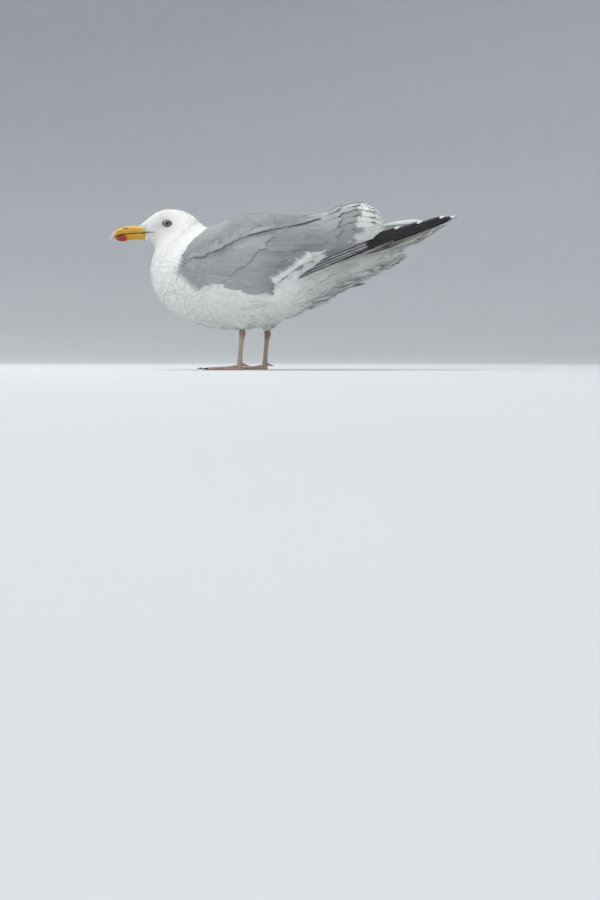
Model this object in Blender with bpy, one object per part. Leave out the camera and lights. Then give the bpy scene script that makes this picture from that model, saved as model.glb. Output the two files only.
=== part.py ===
"""A herring gull standing at rest, neck drawn in, as a life-size solid model.

The bird faces -X, its left side is at -Y, up is +Z, and it stands on the plane Z = 0. Sizes are in
millimetres and become metres through MM. The body is one lofted form, parted by thin cuts into head,
neck, trunk and rump. The folded wings are plates let into its sides, the long quills and the tail are
blades behind it, and bill, eyes, legs, feet and claws are pieces of their own.
"""

import math

import bmesh
import bpy
from mathutils import Matrix, Vector
from mathutils.geometry import interpolate_bezier

MM = 0.001
GAP = 0.3  # the clear space between pieces that touch
SIDES = {"left": -1, "right": 1}

# Driving dimensions of the bird, in millimetres.
MIDDLE_TOE = 57
EYE_RADIUS = 8.0
EYE_CENTRE = (-182.0, 15.7, 229.0)
WING_PLATE = 6.0  # how deep the folded wing is let into the body
LEGS = {"left": (-69.0, -27.0), "right": (-31.0, 27.0)}  # where each shank stands
RING_SIDES = 20
RING_STEPS = 2
PLAIN_SIDES = 12  # of the hidden floor under the wing plates

# The body from bill to tail. Each row is a section that holds a top point, a low point, the half-width,
# the height of its widest place as a share of the way down, and how far it draws in under the wings:
# top x, top z, low x, low z, half-width, widest, tuck
BODY = (
    (-231.0, 227.5, -223.0, 205.0, 7.8, 0.50, 0.0),  # feather edge round the bill
    (-223.0, 233.5, -215.0, 201.5, 11.0, 0.55, 0.0),
    (-213.0, 241.5, -208.0, 198.0, 14.4, 0.56, 0.0),
    (-202.0, 249.6, -205.0, 194.5, 17.2, 0.56, 0.0),
    (-190.5, 254.0, -204.5, 191.0, 19.6, 0.56, 0.0),
    (-178.0, 255.4, -206.0, 186.5, 21.4, 0.55, 0.0),  # just before the eyes
    (-164.0, 254.2, -209.0, 179.0, 24.4, 0.54, 0.0),
    (-150.5, 249.8, -212.0, 168.0, 30.0, 0.54, 0.0),  # nape to throat
    (-139.5, 243.0, -213.6, 155.0, 38.5, 0.54, 0.0),
    (-130.0, 234.0, -211.6, 138.0, 48.0, 0.53, 0.0),
    (-119.0, 227.6, -203.5, 117.5, 58.5, 0.52, 0.0),  # neck to shoulder
    (-103.0, 231.8, -186.0, 96.5, 66.5, 0.51, 0.0),
    (-84.0, 240.6, -160.0, 78.5, 72.0, 0.50, 0.0),
    (-62.0, 247.2, -125.0, 66.0, 75.0, 0.49, 0.0),
    (-33.0, 248.6, -84.0, 60.5, 76.0, 0.48, 0.0),  # deepest part of the belly
    (0.0, 247.4, -40.0, 64.0, 75.0, 0.48, 0.02),
    (35.0, 246.6, 0.0, 75.5, 71.0, 0.49, 0.09),
    (67.0, 250.6, 36.0, 91.5, 64.0, 0.46, 0.17),
    (97.0, 262.6, 70.0, 109.0, 55.5, 0.46, 0.22),  # over the lifted tertials
    (122.0, 265.4, 103.0, 126.5, 46.0, 0.46, 0.24),
    (143.0, 257.0, 132.0, 141.5, 37.0, 0.45, 0.22),
    (155.5, 244.0, 155.0, 154.5, 28.0, 0.44, 0.14),
    (162.5, 229.0, 176.0, 166.5, 17.0, 0.42, 0.05),
)
# The thin cuts: each runs from a point on the back to a point on the underside.
NECK_CUT = ((-147.0, 246.0), (-205.0, 190.0))
SHOULDER_CUT = ((-122.0, 229.0), (-208.0, 128.0))
RUMP_CUT = ((67.0, 250.6), (36.0, 91.5))

# What the sides of the bird show: the wing's coverts and tertials, and the mantle over the back.
COVERTS_OUTLINE = (
    (-170, 154), (-164, 166), (-153, 171), (-137, 174), (-111, 179), (-92, 188), (-79, 198),
    (-60, 206.5), (-23, 217), (10, 224), (31, 229), (54, 178), (22, 157), (-8, 136), (-26, 117),
    (-42, 118), (-56, 128), (-72, 134), (-110, 133), (-138, 121), (-157, 139),
)
TERTIALS_OUTLINE = (
    (31, 229), (54, 178), (95, 190), (135, 202), (180, 219), (180, 275), (27, 275),
)
MANTLE_OUTLINE = (
    (-164, 166), (-153, 171), (-137, 174), (-111, 179), (-92, 188), (-79, 198),
    (-60, 206.5), (-23, 217), (10, 224), (31, 229), (27, 275), (-112, 275), (-117, 232),
    (-126, 216), (-144, 201), (-158, 181),
)

# The bill: sections as in BODY, from inside the face out to the tip. The upper half ends in the hook,
# the lower half has the gonys angle. The feathers draw back along the gape by GAPE_NOTCH.
GAPE_NOTCH = 10.0
BILL_UPPER = (
    (-213.5, 226.0, -211.0, 216.6, 7.5, 0.80),
    (-231.0, 227.6, -227.0, 216.4, 7.3, 0.78),
    (-239.0, 228.2, -235.0, 216.0, 6.9, 0.76),
    (-247.0, 227.5, -244.0, 215.4, 6.2, 0.74),
    (-256.0, 225.8, -254.0, 214.6, 5.5, 0.72),
    (-264.0, 222.6, -262.0, 213.2, 4.7, 0.70),
    (-270.0, 218.2, -267.6, 211.8, 3.8, 0.66),
    (-274.0, 212.8, -270.8, 210.2, 2.8, 0.60),
    (-276.0, 208.4, -273.4, 207.4, 1.7, 0.55),
    (-276.3, 206.0, -275.0, 205.6, 0.7, 0.50),
)
BILL_LOWER = (
    (-210.5, 215.8, -209.5, 206.5, 7.3, 0.24),
    (-226.5, 215.8, -224.0, 205.8, 7.0, 0.24),
    (-235.0, 215.4, -234.0, 206.0, 6.4, 0.24),
    (-245.0, 214.7, -244.0, 205.2, 5.5, 0.26),
    (-253.0, 213.8, -252.0, 203.6, 4.9, 0.30),
    (-258.0, 213.1, -257.4, 203.2, 4.4, 0.32),  # gonys
    (-264.0, 211.9, -263.4, 204.8, 3.5, 0.34),
    (-268.0, 210.5, -267.8, 206.8, 2.4, 0.36),
    (-270.4, 209.2, -270.4, 208.4, 0.9, 0.40),
)

# The long quills past the tertials. The lowest is the longest, and its middle line runs through these
# points: x, z, y and how far the next quill lies above it across the blade.
PRIMARY_LINE = (
    (42.0, 152.9, 62.0, 4.4),
    (90.0, 172.4, 51.0, 4.3),
    (137.0, 192.8, 38.0, 4.1),
    (192.0, 213.5, 25.5, 3.4),
    (222.0, 226.0, 18.0, 1.8),
    (258.0, 238.3, 12.0, 1.1),
    (275.5, 242.0, 9.5, 1.0),
)
PRIMARY_TIPS = (275.5, 258.0, 222.0, 186.0)  # x of each tip
PRIMARY_STACK = 1.7  # from one blade to the next, through them
PRIMARY_WIDTH = 12.5
PRIMARY_THICK = 1.3
PRIMARY_LEAN = math.radians(40)
PRIMARY_TAPER = 46.0  # the tip narrows over this length

# The tail: a fan of feathers, pitched up and bent like a low roof.
TAIL_ROOT = (100.0, 172.0)  # x, z
TAIL_PITCH = math.radians(21.0)
TAIL_LENGTH = 188.0
TAIL_HALF_ROOT = 30.0
TAIL_HALF_TIP = 46.0
TAIL_FEATHERS = 12
TAIL_THICK = 3.0
TAIL_ROOF = 17.0  # how much lower its sides are than its middle
TAIL_ROUNDING = 76.0  # how much shorter its outer feathers are

SHANK_TOP = 64.0
TOE_SPREAD = {"inner": 24.0, "middle": 0.0, "outer": -23.0}  # degrees from straight ahead
TOE_SHARE = {"inner": 0.79, "middle": 1.0, "outer": 0.93}
TOE_RADIUS = 3.4
WEB_THICK = 1.4
FOOT_TURN = 7.0  # degrees that each foot points outwards
CLAW_LENGTH = 8.5


# ---------------------------------------------------------------- scene and materials


def clear_scene():
    for obj in list(bpy.data.objects):
        bpy.data.objects.remove(obj, do_unlink=True)


def new_collection(name):
    collection = bpy.data.collections.new(name)
    bpy.context.scene.collection.children.link(collection)
    return collection


def material(name, colour, roughness):
    made = bpy.data.materials.new(name)
    made.use_nodes = True
    shader = made.node_tree.nodes["Principled BSDF"]
    shader.inputs["Base Color"].default_value = (*colour, 1.0)
    shader.inputs["Roughness"].default_value = roughness
    shader.inputs["Metallic"].default_value = 0.0
    return made


clear_scene()
GULL = new_collection("gull")
CUTTERS = new_collection("cutters")

WHITE = material("white_plumage", (0.80, 0.80, 0.78), 0.8)
GREY = material("grey_plumage", (0.33, 0.35, 0.38), 0.75)
BLACK = material("black_quills", (0.02, 0.02, 0.025), 0.5)
BILL = material("yellow_bill", (0.75, 0.45, 0.06), 0.35)
EYE = material("eye", (0.55, 0.50, 0.32), 0.08)
LEG = material("pink_leg", (0.62, 0.40, 0.34), 0.5)
CLAW = material("dark_claw", (0.04, 0.03, 0.03), 0.35)


# ---------------------------------------------------------------- shapes


def point(x, y, z):
    """A point given in millimetres."""
    return Vector((x, y, z)) * MM


def add(name, mesh, finish=None, helper=False):
    """Puts a mesh in the scene, as a piece of the bird or as a hidden cutter."""
    obj = bpy.data.objects.new(name, mesh)
    (CUTTERS if helper else GULL).objects.link(obj)
    if helper:
        obj.hide_render = True
        obj.display_type = "WIRE"
    else:
        mesh.materials.append(finish)
        mesh.shade_smooth()
        mesh.set_sharp_from_angle(angle=math.radians(40))
    return obj


def loft(name, rings):
    """A closed mesh through rings of equally many points, with a flat cap on each end."""
    form = bmesh.new()
    rows = [[form.verts.new(p) for p in ring] for ring in rings]
    count = len(rows[0])
    for near, far in zip(rows, rows[1:]):
        for i in range(count):
            j = (i + 1) % count
            form.faces.new((near[i], near[j], far[j], far[i]))
    form.faces.new(rows[0])
    form.faces.new(rows[-1])
    bmesh.ops.triangulate(form, faces=form.faces)
    bmesh.ops.recalc_face_normals(form, faces=form.faces)
    mesh = bpy.data.meshes.new(name)
    form.to_mesh(mesh)
    form.free()
    return mesh


def eased(rows, steps):
    """Rows of numbers with steps - 1 more between each two, on a Catmull-Rom curve through them."""
    made = []
    last = len(rows) - 1
    for i in range(last):
        before, here, there, after = (rows[min(max(i + k, 0), last)] for k in (-1, 0, 1, 2))
        for step in range(steps):
            t = step / steps
            made.append(
                tuple(
                    0.5 * (2 * b + (c - a) * t + (2 * a - 5 * b + 4 * c - d) * t**2
                           + (3 * b - a - 3 * c + d) * t**3)
                    for a, b, c, d in zip(before, here, there, after)
                )
            )
    return [*made, tuple(rows[last])]


def section(row, sides):
    """A closed ring in the plane of a section's top and low points, symmetric about Y = 0."""
    top_x, top_z, low_x, low_z, half, widest, *tuck = row
    ring = []
    for i in range(sides):
        angle = 2 * math.pi * i / sides
        half_here = half
        if math.cos(angle) >= 0:
            down = widest * (1 - math.cos(angle))
        else:
            down = widest - (1 - widest) * math.cos(angle)
            half_here *= 1 - sum(tuck) * min(1.0, -math.cos(angle) / 0.3)
        ring.append(
            point(
                top_x + (low_x - top_x) * down,
                half_here * math.sin(angle),
                top_z + (low_z - top_z) * down,
            )
        )
    return ring


def lofted_sections(name, rows, sides, steps):
    return loft(name, [section(row, sides) for row in eased(rows, steps)])


def oval_tube(name, stations, sides=12, floor=None):
    """A tube through stations of (centre, half-width along a, half-width along b, a, b)."""
    rings = []
    for centre, wide, deep, across, up in stations:
        ring = []
        for i in range(sides):
            angle = math.pi / 2 + 2 * math.pi * i / sides
            p = centre + across * (wide * math.cos(angle)) + up * (deep * math.sin(angle))
            if floor is not None:
                p.z = max(p.z, floor)
            ring.append(p)
        rings.append(ring)
    return loft(name, rings)


def inflated(name, mesh, distance):
    """A hidden copy of a closed mesh, moved along its normals by a distance in millimetres."""
    obj = add(name, mesh.copy(), helper=True)
    move = obj.modifiers.new("offset", "DISPLACE")
    move.strength = distance * MM
    move.mid_level = 0.0
    return obj


def prism(name, outline, near, far, swell):
    """A hidden block from one Y to another, with an outline of x, z pairs, swollen a little."""
    mesh = loft(name, [[point(x, y, z) for x, z in outline] for y in (near, far)])
    obj = add(name, mesh, helper=True)
    move = obj.modifiers.new("offset", "DISPLACE")
    move.strength = swell * MM
    move.mid_level = 0.0
    return obj


def boolean(obj, operation, other):
    cut = obj.modifiers.new(f"{operation.lower()} {other.name}", "BOOLEAN")
    cut.operation = operation
    cut.object = other
    cut.solver = "EXACT"


def baked(obj):
    """The object with its modifiers applied."""
    bpy.context.view_layer.update()
    graph = bpy.context.evaluated_depsgraph_get()
    mesh = bpy.data.meshes.new_from_object(obj.evaluated_get(graph))
    obj.modifiers.clear()
    obj.data = mesh
    return obj


def cut_plane(cut, shift):
    """A thin cut's plane as a point and a normal that points to the tail, shifted in millimetres."""
    (top_x, top_z), (low_x, low_z) = cut
    normal = Vector((top_z - low_z, 0, low_x - top_x)).normalized()
    return point(top_x, 0, top_z) + normal * (shift * MM), normal


def slice_of(name, mesh, front_cut, back_cut):
    """The stretch of a closed mesh between two thin cuts, either of which may be None."""
    form = bmesh.new()
    form.from_mesh(mesh)
    for cut, shift, behind in ((front_cut, GAP / 2, False), (back_cut, -GAP / 2, True)):
        if cut is None:
            continue
        co, normal = cut_plane(cut, shift)
        made = bmesh.ops.bisect_plane(
            form,
            geom=[*form.verts, *form.edges, *form.faces],
            plane_co=co,
            plane_no=normal,
            clear_inner=not behind,
            clear_outer=behind,
        )
        edges = [e for e in made["geom_cut"] if isinstance(e, bmesh.types.BMEdge)]
        bmesh.ops.edgeloop_fill(form, edges=edges)
    bmesh.ops.triangulate(form, faces=form.faces)
    bmesh.ops.recalc_face_normals(form, faces=form.faces)
    piece = bpy.data.meshes.new(name)
    form.to_mesh(piece)
    form.free()
    return piece


# ---------------------------------------------------------------- body, wings and eyes


def build_body():
    """Head, neck, trunk and rump from one form, the wing plates let into it, and the eyes."""
    rings = [section(row, RING_SIDES) for row in eased(BODY, RING_STEPS)]
    for ring, share in zip(rings, (1.0, 0.45)):
        half = max(p.y for p in ring)
        for p in ring:
            p.x += GAPE_NOTCH * MM * share * (p.y / half) ** 2
    whole = loft("body", rings)
    plain = loft("plain", [section(row, PLAIN_SIDES) for row in BODY])
    core = inflated("core", plain, -WING_PLATE)
    deeper_core = inflated("deeper_core", plain, -WING_PLATE - GAP)

    bed = None
    for name, outline, near, far in (
        ("mantle", MANTLE_OUTLINE, -120, 120),
        ("wing_left_coverts", COVERTS_OUTLINE, -120, -20),
        ("wing_right_coverts", COVERTS_OUTLINE, 20, 120),
        ("wing_left_tertials", TERTIALS_OUTLINE, -120, 0),
        ("wing_right_tertials", TERTIALS_OUTLINE, 0, 120),
    ):
        plate = add(name, whole.copy(), GREY)
        boolean(plate, "INTERSECT", prism(f"{name}_block", outline, near, far, -GAP))
        boolean(plate, "DIFFERENCE", core)
        baked(plate)
        hollow = prism(f"{name}_hollow", outline, near, far, 0.1)
        if bed:
            boolean(bed, "UNION", hollow)
        else:
            bed = hollow
    boolean(bed, "DIFFERENCE", deeper_core)
    baked(bed)

    head = add("head", slice_of("head", whole, None, NECK_CUT), WHITE)
    add("neck", slice_of("neck", whole, NECK_CUT, SHOULDER_CUT), WHITE)
    trunk = add("trunk", slice_of("trunk", whole, SHOULDER_CUT, RUMP_CUT), WHITE)
    rump = add("rump", slice_of("rump", whole, RUMP_CUT, None), WHITE)
    boolean(trunk, "DIFFERENCE", bed)
    boolean(rump, "DIFFERENCE", bed)
    baked(trunk)
    baked(rump)

    x, y, z = EYE_CENTRE
    for side, sign in SIDES.items():
        socket = add(f"{side}_socket", ball("socket", EYE_RADIUS + GAP), helper=True)
        eye = add(f"eye_{side}", ball("eye", EYE_RADIUS), EYE)
        socket.location = eye.location = point(x, sign * y, z)
        boolean(head, "DIFFERENCE", socket)
    baked(head)
    return whole


def ball(name, radius):
    form = bmesh.new()
    bmesh.ops.create_uvsphere(form, u_segments=12, v_segments=7, radius=radius * MM)
    mesh = bpy.data.meshes.new(name)
    form.to_mesh(mesh)
    form.free()
    return mesh


def build_bill(clear_body):
    """The two halves of the bill, a hair's breadth clear of the face."""
    for name, rows in (("bill_upper", BILL_UPPER), ("bill_lower", BILL_LOWER)):
        half = add(name, lofted_sections(name, rows, 12, 1), BILL)
        boolean(half, "DIFFERENCE", clear_body)
        baked(half)


# ---------------------------------------------------------------- quills and tail


def along(rows, x):
    """A point on rows of numbers that rise in their first one."""
    near, far = next(
        (pair for pair in zip(rows, rows[1:]) if x <= pair[1][0]), rows[-2:]
    )
    share = (x - near[0]) / (far[0] - near[0])
    return [a + (b - a) * share for a, b in zip(near, far)]


def build_primaries(clear_body):
    """Four quills a side, stacked upwards and outwards, each shorter than the one below it."""
    rows = eased(PRIMARY_LINE, 3)
    shares = (0, 0.25, 0.5, 0.7, 0.84, 0.92, 0.975, 1.0)
    for side, sign in SIDES.items():
        rise = Vector((0, -sign * math.sin(PRIMARY_LEAN), math.cos(PRIMARY_LEAN)))
        outwards = Vector((0, sign * math.cos(PRIMARY_LEAN), math.sin(PRIMARY_LEAN)))
        for k, tip in enumerate(PRIMARY_TIPS):
            stations = []
            for share in shares:
                x, z, y, spread = along(rows, rows[0][0] + (tip - rows[0][0]) * share)
                centre = point(x, sign * y, z) + (rise * spread + outwards * PRIMARY_STACK) * (k * MM)
                wide = max(0.1, min(1.0, ((tip - x) / PRIMARY_TAPER) ** 0.55))
                thick = PRIMARY_THICK / 2 * MM * (0.4 + 0.6 * wide)
                stations.append((centre, thick, PRIMARY_WIDTH / 2 * MM * wide, outwards, rise))
            name = f"primary_{side}_{k + 1}"
            quill = add(name, oval_tube(name, stations, sides=6), BLACK)
            boolean(quill, "DIFFERENCE", clear_body)
            baked(quill)


def build_tail(clear_body):
    """A fan with one rounded tip for each feather, bent over its middle and pitched up."""
    per_feather = 2
    columns = TAIL_FEATHERS * per_feather
    rows = 2
    rings = []
    for c in range(columns + 1):
        across = 2 * c / columns - 1  # -1 at the left edge, 1 at the right
        within = (c % per_feather) / per_feather
        notch = 4.0 * abs(2 * within - 1) ** 2.5
        reach = TAIL_LENGTH - TAIL_ROUNDING * across**2 - notch
        upper, lower = [], []
        for r in range(rows + 1):
            share = r / rows
            half = TAIL_HALF_ROOT + (TAIL_HALF_TIP - TAIL_HALF_ROOT) * share**0.85
            drop = TAIL_ROOF * across**2 * (0.4 + 0.6 * share)
            thick = TAIL_THICK / 2 * (1 - 0.6 * share)
            for line, lift in ((upper, thick), (lower, -thick)):
                line.append(point(reach * share, half * across, lift - drop))
        rings.append([*upper, *reversed(lower)])
    mesh = loft("tail", rings)
    place = Matrix.Translation(point(TAIL_ROOT[0], 0, TAIL_ROOT[1]))
    mesh.transform(place @ Matrix.Rotation(-TAIL_PITCH, 4, "Y"))
    tail = add("tail", mesh, WHITE)
    boolean(tail, "DIFFERENCE", clear_body)
    baked(tail)


# ---------------------------------------------------------------- legs and feet


def leg_station(x, y, z, wide, deep):
    """A level section of a leg, wide along X and deep along Y."""
    return (point(x, y, z), wide * MM, deep * MM, Vector((1, 0, 0)), Vector((0, 1, 0)))


def build_leg(side, sign, clear_body):
    x, y = LEGS[side]
    thigh_rows = (
        leg_station(x + 3, y, SHANK_TOP + GAP, 6.6, 5.8),
        leg_station(x + 1, y, SHANK_TOP + 5, 9.5, 8.5),
        leg_station(x - 6, y + sign, SHANK_TOP + 14, 16, 14),
        leg_station(x - 14, y + sign * 2, SHANK_TOP + 26, 21, 18),
    )
    thigh = add(f"thigh_{side}", oval_tube("thigh", thigh_rows), WHITE)
    boolean(thigh, "DIFFERENCE", clear_body)
    baked(thigh)

    shank_rows = (
        leg_station(x + 3.2, y, SHANK_TOP, 4.6, 4.0),
        leg_station(x + 4.6, y, SHANK_TOP - 3.5, 5.5, 4.6),
        leg_station(x + 4.5, y, SHANK_TOP - 8.5, 5.3, 4.4),
        leg_station(x + 3.4, y, SHANK_TOP - 15, 4.2, 3.2),
        leg_station(x + 2.0, y, 36, 3.7, 2.7),
        leg_station(x + 0.8, y, 20, 3.7, 2.8),
        leg_station(x + 0.2, y, 12.5, 4.4, 3.9),
        leg_station(x, y, 8.6, 4.3, 4.2),
    )
    add(f"shank_{side}", oval_tube("shank", shank_rows, sides=10), LEG)


def toe_points(turn, length):
    """Centres and radii along a toe, from the joint to the claw, with its two knuckles."""
    ahead = Vector((-math.cos(turn), -math.sin(turn), 0))
    made = []
    for share, swell in (
        (-0.04, 0.9), (0.1, 1.1), (0.3, 0.86), (0.4, 0.98), (0.54, 0.78), (0.66, 0.86),
        (0.8, 0.7), (1.0, 0.5),
    ):
        height = 3.4 - 1.6 * max(share, 0) if share > 0.1 else 4.4
        made.append((ahead * (share * length * MM), height * MM, TOE_RADIUS * swell * MM))
    return ahead, made


def build_foot(side, sign):
    x, y = LEGS[side]
    heel = point(x - 1.5, y, 0)
    up = Vector((0, 0, 1))
    outline = []
    pieces = []
    for toe in ("outer", "middle", "inner"):
        turn = math.radians(TOE_SPREAD[toe]) * sign - math.radians(FOOT_TURN) * sign
        length = MIDDLE_TOE * TOE_SHARE[toe]
        ahead, points = toe_points(turn, length)
        across = ahead.cross(up)
        stations = [
            (heel + at + up * height, radius, radius * 0.92, across, up)
            for at, height, radius in points
        ]
        mesh = oval_tube(toe, stations, sides=6, floor=0.0)
        pieces.append(add(f"{side}_{toe}_toe", mesh, helper=True))
        outline.append(heel + ahead * (length * 0.9 * MM))
        claw_start = heel + ahead * ((length + GAP) * MM) + up * (1.9 * MM)
        build_claw(f"claw_{side}_{toe}", claw_start, ahead, 1.0)

    web = [heel + point(6, -5 * sign, 0), heel + point(6, 5 * sign, 0)]
    for near, far in zip(outline, outline[1:]):
        middle = near.lerp(far, 0.5).lerp(heel, 0.17)
        web += interpolate_bezier(near, near.lerp(middle, 0.8), far.lerp(middle, 0.8), far, 6)
    rings = [[p + up * (z * MM) for p in web] for z in (0.5, 0.5 + WEB_THICK)]
    webs = add(f"{side}_web", loft("web", rings), helper=True)

    pad_rows = (
        leg_station(x, y, 8.3 - GAP, 4.4, 4.3),
        leg_station(x - 0.6, y, 6.0, 5.4, 5.2),
        leg_station(x - 1.4, y, 3.0, 6.0, 5.6),
        leg_station(x - 1.6, y, 0.0, 5.0, 4.6),
    )
    foot = add(f"foot_{side}", oval_tube("foot", pad_rows), LEG)
    for piece in (*pieces, webs):
        boolean(foot, "UNION", piece)
    baked(foot)

    back = Vector((math.cos(0.5), -sign * math.sin(0.5), 0))
    hallux_start = point(x, y, 8.6) + back * (5.4 * MM)
    stations = [
        (hallux_start + back * (d * MM) - up * (drop * MM), r * MM, r * MM, back.cross(up), up)
        for d, drop, r in ((0.0, 0.0, 2.3), (3.5, 0.9, 2.2), (7.0, 2.2, 1.5))
    ]
    add(f"hallux_{side}", oval_tube("hallux", stations, sides=8), LEG)
    claw_start = hallux_start + back * ((7.0 + GAP) * MM) - up * (2.2 * MM)
    build_claw(f"claw_{side}_hallux", claw_start, back, 0.6)


def build_claw(name, start, ahead, size):
    """A short curved claw that runs on from a toe and turns down without reaching the floor."""
    up = Vector((0, 0, 1))
    length = CLAW_LENGTH * size * MM
    stations = []
    for share, rise, radius in ((0.0, 0.0, 1.35), (0.35, 0.09, 1.2), (0.7, 0.02, 0.8), (1.0, -0.1, 0.3)):
        centre = start + ahead * (length * share) + up * (length * rise)
        stations.append((centre, radius * size * MM, radius * size * MM, ahead.cross(up), up))
    add(name, oval_tube(name, stations, sides=6), CLAW)


body_skin = inflated("clear_body", build_body(), GAP)
build_bill(body_skin)
build_primaries(body_skin)
build_tail(body_skin)
for side_name, side_sign in SIDES.items():
    build_leg(side_name, side_sign, body_skin)
    build_foot(side_name, side_sign)
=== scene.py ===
"""Looks of the herring gull: skin, feathers, bill, eyes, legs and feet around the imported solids."""

import math
from functools import partialmethod

import bmesh
import bpy
import numpy as np
from mathutils import Matrix, Vector
from mathutils.bvhtree import BVHTree
from mathutils.kdtree import KDTree


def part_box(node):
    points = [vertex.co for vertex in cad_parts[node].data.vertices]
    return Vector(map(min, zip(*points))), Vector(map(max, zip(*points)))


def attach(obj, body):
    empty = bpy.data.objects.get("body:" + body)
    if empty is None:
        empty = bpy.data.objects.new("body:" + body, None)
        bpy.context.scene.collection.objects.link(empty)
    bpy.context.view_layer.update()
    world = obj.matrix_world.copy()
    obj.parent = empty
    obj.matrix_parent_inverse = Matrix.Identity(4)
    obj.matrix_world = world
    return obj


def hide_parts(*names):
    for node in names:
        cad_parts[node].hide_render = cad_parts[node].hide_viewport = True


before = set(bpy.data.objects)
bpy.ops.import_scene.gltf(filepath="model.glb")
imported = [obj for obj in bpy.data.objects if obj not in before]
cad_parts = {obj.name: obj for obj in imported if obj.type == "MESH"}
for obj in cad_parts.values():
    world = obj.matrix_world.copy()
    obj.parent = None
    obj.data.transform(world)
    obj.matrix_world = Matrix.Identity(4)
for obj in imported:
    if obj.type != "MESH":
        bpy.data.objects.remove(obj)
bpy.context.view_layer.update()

MM = 0.001
scene = bpy.context.scene
scene.view_settings.view_transform = "Standard"

# ---------------------------------------------------------------- camera
# A lens just over the floor, level with the bird's feet and square to its left side, so that it sees the
# body a little from below. The bird stands in the upper half of its view.
CAMERA_PLACE = (0.0265, -1.60, 0.018)
CAMERA_AIM = (0.0265, 0.0, -0.130)
CAMERA_LENS = 39.6

lens = bpy.data.cameras.new("camera")
lens.lens = CAMERA_LENS
lens.sensor_width = 36.0
lens.clip_start = 0.01
camera = bpy.data.objects.new("camera", lens)
camera.location = CAMERA_PLACE
aim = Vector(CAMERA_AIM) - Vector(CAMERA_PLACE)
camera.rotation_euler = aim.to_track_quat("-Z", "Y").to_euler()
scene.collection.objects.link(camera)
scene.camera = camera


# ---------------------------------------------------------------- floor and light
# A pale round studio floor whose rim turns up into a backdrop, with soft boxes over it. It isn't part
# of the bird.


class Value:
    """A node's output that takes part in sums with numbers and with other outputs."""

    def __init__(self, tree, socket):
        self.tree = tree
        self.socket = socket

    def maths(self, operation, other=0.0, swap=False, clamp=False):
        first, second = (other, self) if swap else (self, other)
        settings = {"operation": operation, "use_clamp": clamp}
        made = place(self.tree, "ShaderNodeMath", settings, {0: first, 1: second})
        return Value(self.tree, made.outputs[0])

    __add__ = __radd__ = partialmethod(maths, "ADD")
    __sub__ = partialmethod(maths, "SUBTRACT")
    __rsub__ = partialmethod(maths, "SUBTRACT", swap=True)
    __mul__ = __rmul__ = partialmethod(maths, "MULTIPLY")
    __truediv__ = partialmethod(maths, "DIVIDE")
    __pow__ = partialmethod(maths, "POWER")
    size = partialmethod(maths, "ABSOLUTE")
    wave = partialmethod(maths, "SINE")
    most = partialmethod(maths, "MAXIMUM")
    held = partialmethod(maths, "ADD", 0.0, clamp=True)

    def rise(self, low, high):
        """0 below low, 1 above high and a soft step between, or the other way round."""
        values = {"Value": self, "From Min": low, "From Max": high}
        made = place(self.tree, "ShaderNodeMapRange", {"interpolation_type": "SMOOTHSTEP"}, values)
        return Value(self.tree, made.outputs[0])


def place(tree, kind, settings=None, values=None):
    """One node, its settings made first, then its inputs given as numbers, sockets or Values."""
    made = tree.nodes.new(kind)
    for key, setting in (settings or {}).items():
        setattr(made, key, setting)
    for key, given in (values or {}).items():
        if isinstance(given, Value):
            given = given.socket
        if isinstance(given, bpy.types.NodeSocket):
            tree.links.new(given, made.inputs[key])
        else:
            made.inputs[key].default_value = given
    return made


class Finish:
    """A material in the making: its nodes, and the colour, roughness and relief they give the shader."""

    def __init__(self, name, constants=None):
        self.material = bpy.data.materials.new(name)
        self.material.use_nodes = True
        self.tree = self.material.node_tree
        self.shader = self.tree.nodes["Principled BSDF"]
        for key, constant in (constants or {}).items():
            self.shader.inputs[key].default_value = constant

    def place(self, kind, settings=None, values=None, out=0):
        return Value(self.tree, place(self.tree, kind, settings, values).outputs[out])

    def spot(self):
        """Object coordinates as x, y and z, in metres."""
        made = place(self.tree, "ShaderNodeTexCoord")
        apart = place(self.tree, "ShaderNodeSeparateXYZ", None, {0: made.outputs["Object"]})
        return Value(self.tree, made.outputs["Object"]), *(Value(self.tree, s) for s in apart.outputs)

    def kept(self, name):
        """A number kept on the mesh."""
        return self.place("ShaderNodeAttribute", {"attribute_name": name}, out=2)

    def noise(self, vector, scale, detail=2.0, rough=0.5):
        values = {"Vector": vector, "Scale": scale, "Detail": detail, "Roughness": rough}
        return self.place("ShaderNodeTexNoise", None, values)

    def stretched(self, vector, scale, turn=(0.0, 0.0, 0.0)):
        return self.place("ShaderNodeMapping", None, {"Vector": vector, "Scale": scale, "Rotation": turn})

    def mix(self, share, first, second, blend="MIX"):
        """The first colour turned into the second by a share, or multiplied by it."""
        values = {0: share, 6: colour(first), 7: colour(second)}
        return self.place("ShaderNodeMix", {"data_type": "RGBA", "blend_type": blend}, values, out=2)

    def layered(self, base, *layers):
        """A colour with others over it, each a share and a colour."""
        for share, tint in layers:
            base = self.mix(share, base, tint)
        return base

    def lit(self, tint, factor):
        """A colour made lighter or darker by a number."""
        return self.mix(1.0, tint, (factor,) * 3 if isinstance(factor, float) else factor, "MULTIPLY")

    def finish(self, base, roughness, height=None, distance=0.0003, strength=1.0):
        """Joins colour, roughness and fine relief, in metres, to the shader."""
        values = {"Base Color": base, "Roughness": roughness}
        if height is not None:
            relief = {"Strength": strength, "Distance": distance, "Height": height}
            values["Normal"] = self.place("ShaderNodeBump", None, relief)
        for key, given in values.items():
            self.tree.links.new(given.socket, self.shader.inputs[key])
        return self.material


def colour(given):
    """A colour as a shader takes it; a Value or a whole colour stays as it is."""
    return (*given, 1.0) if isinstance(given, tuple) and len(given) == 3 else given


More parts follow.
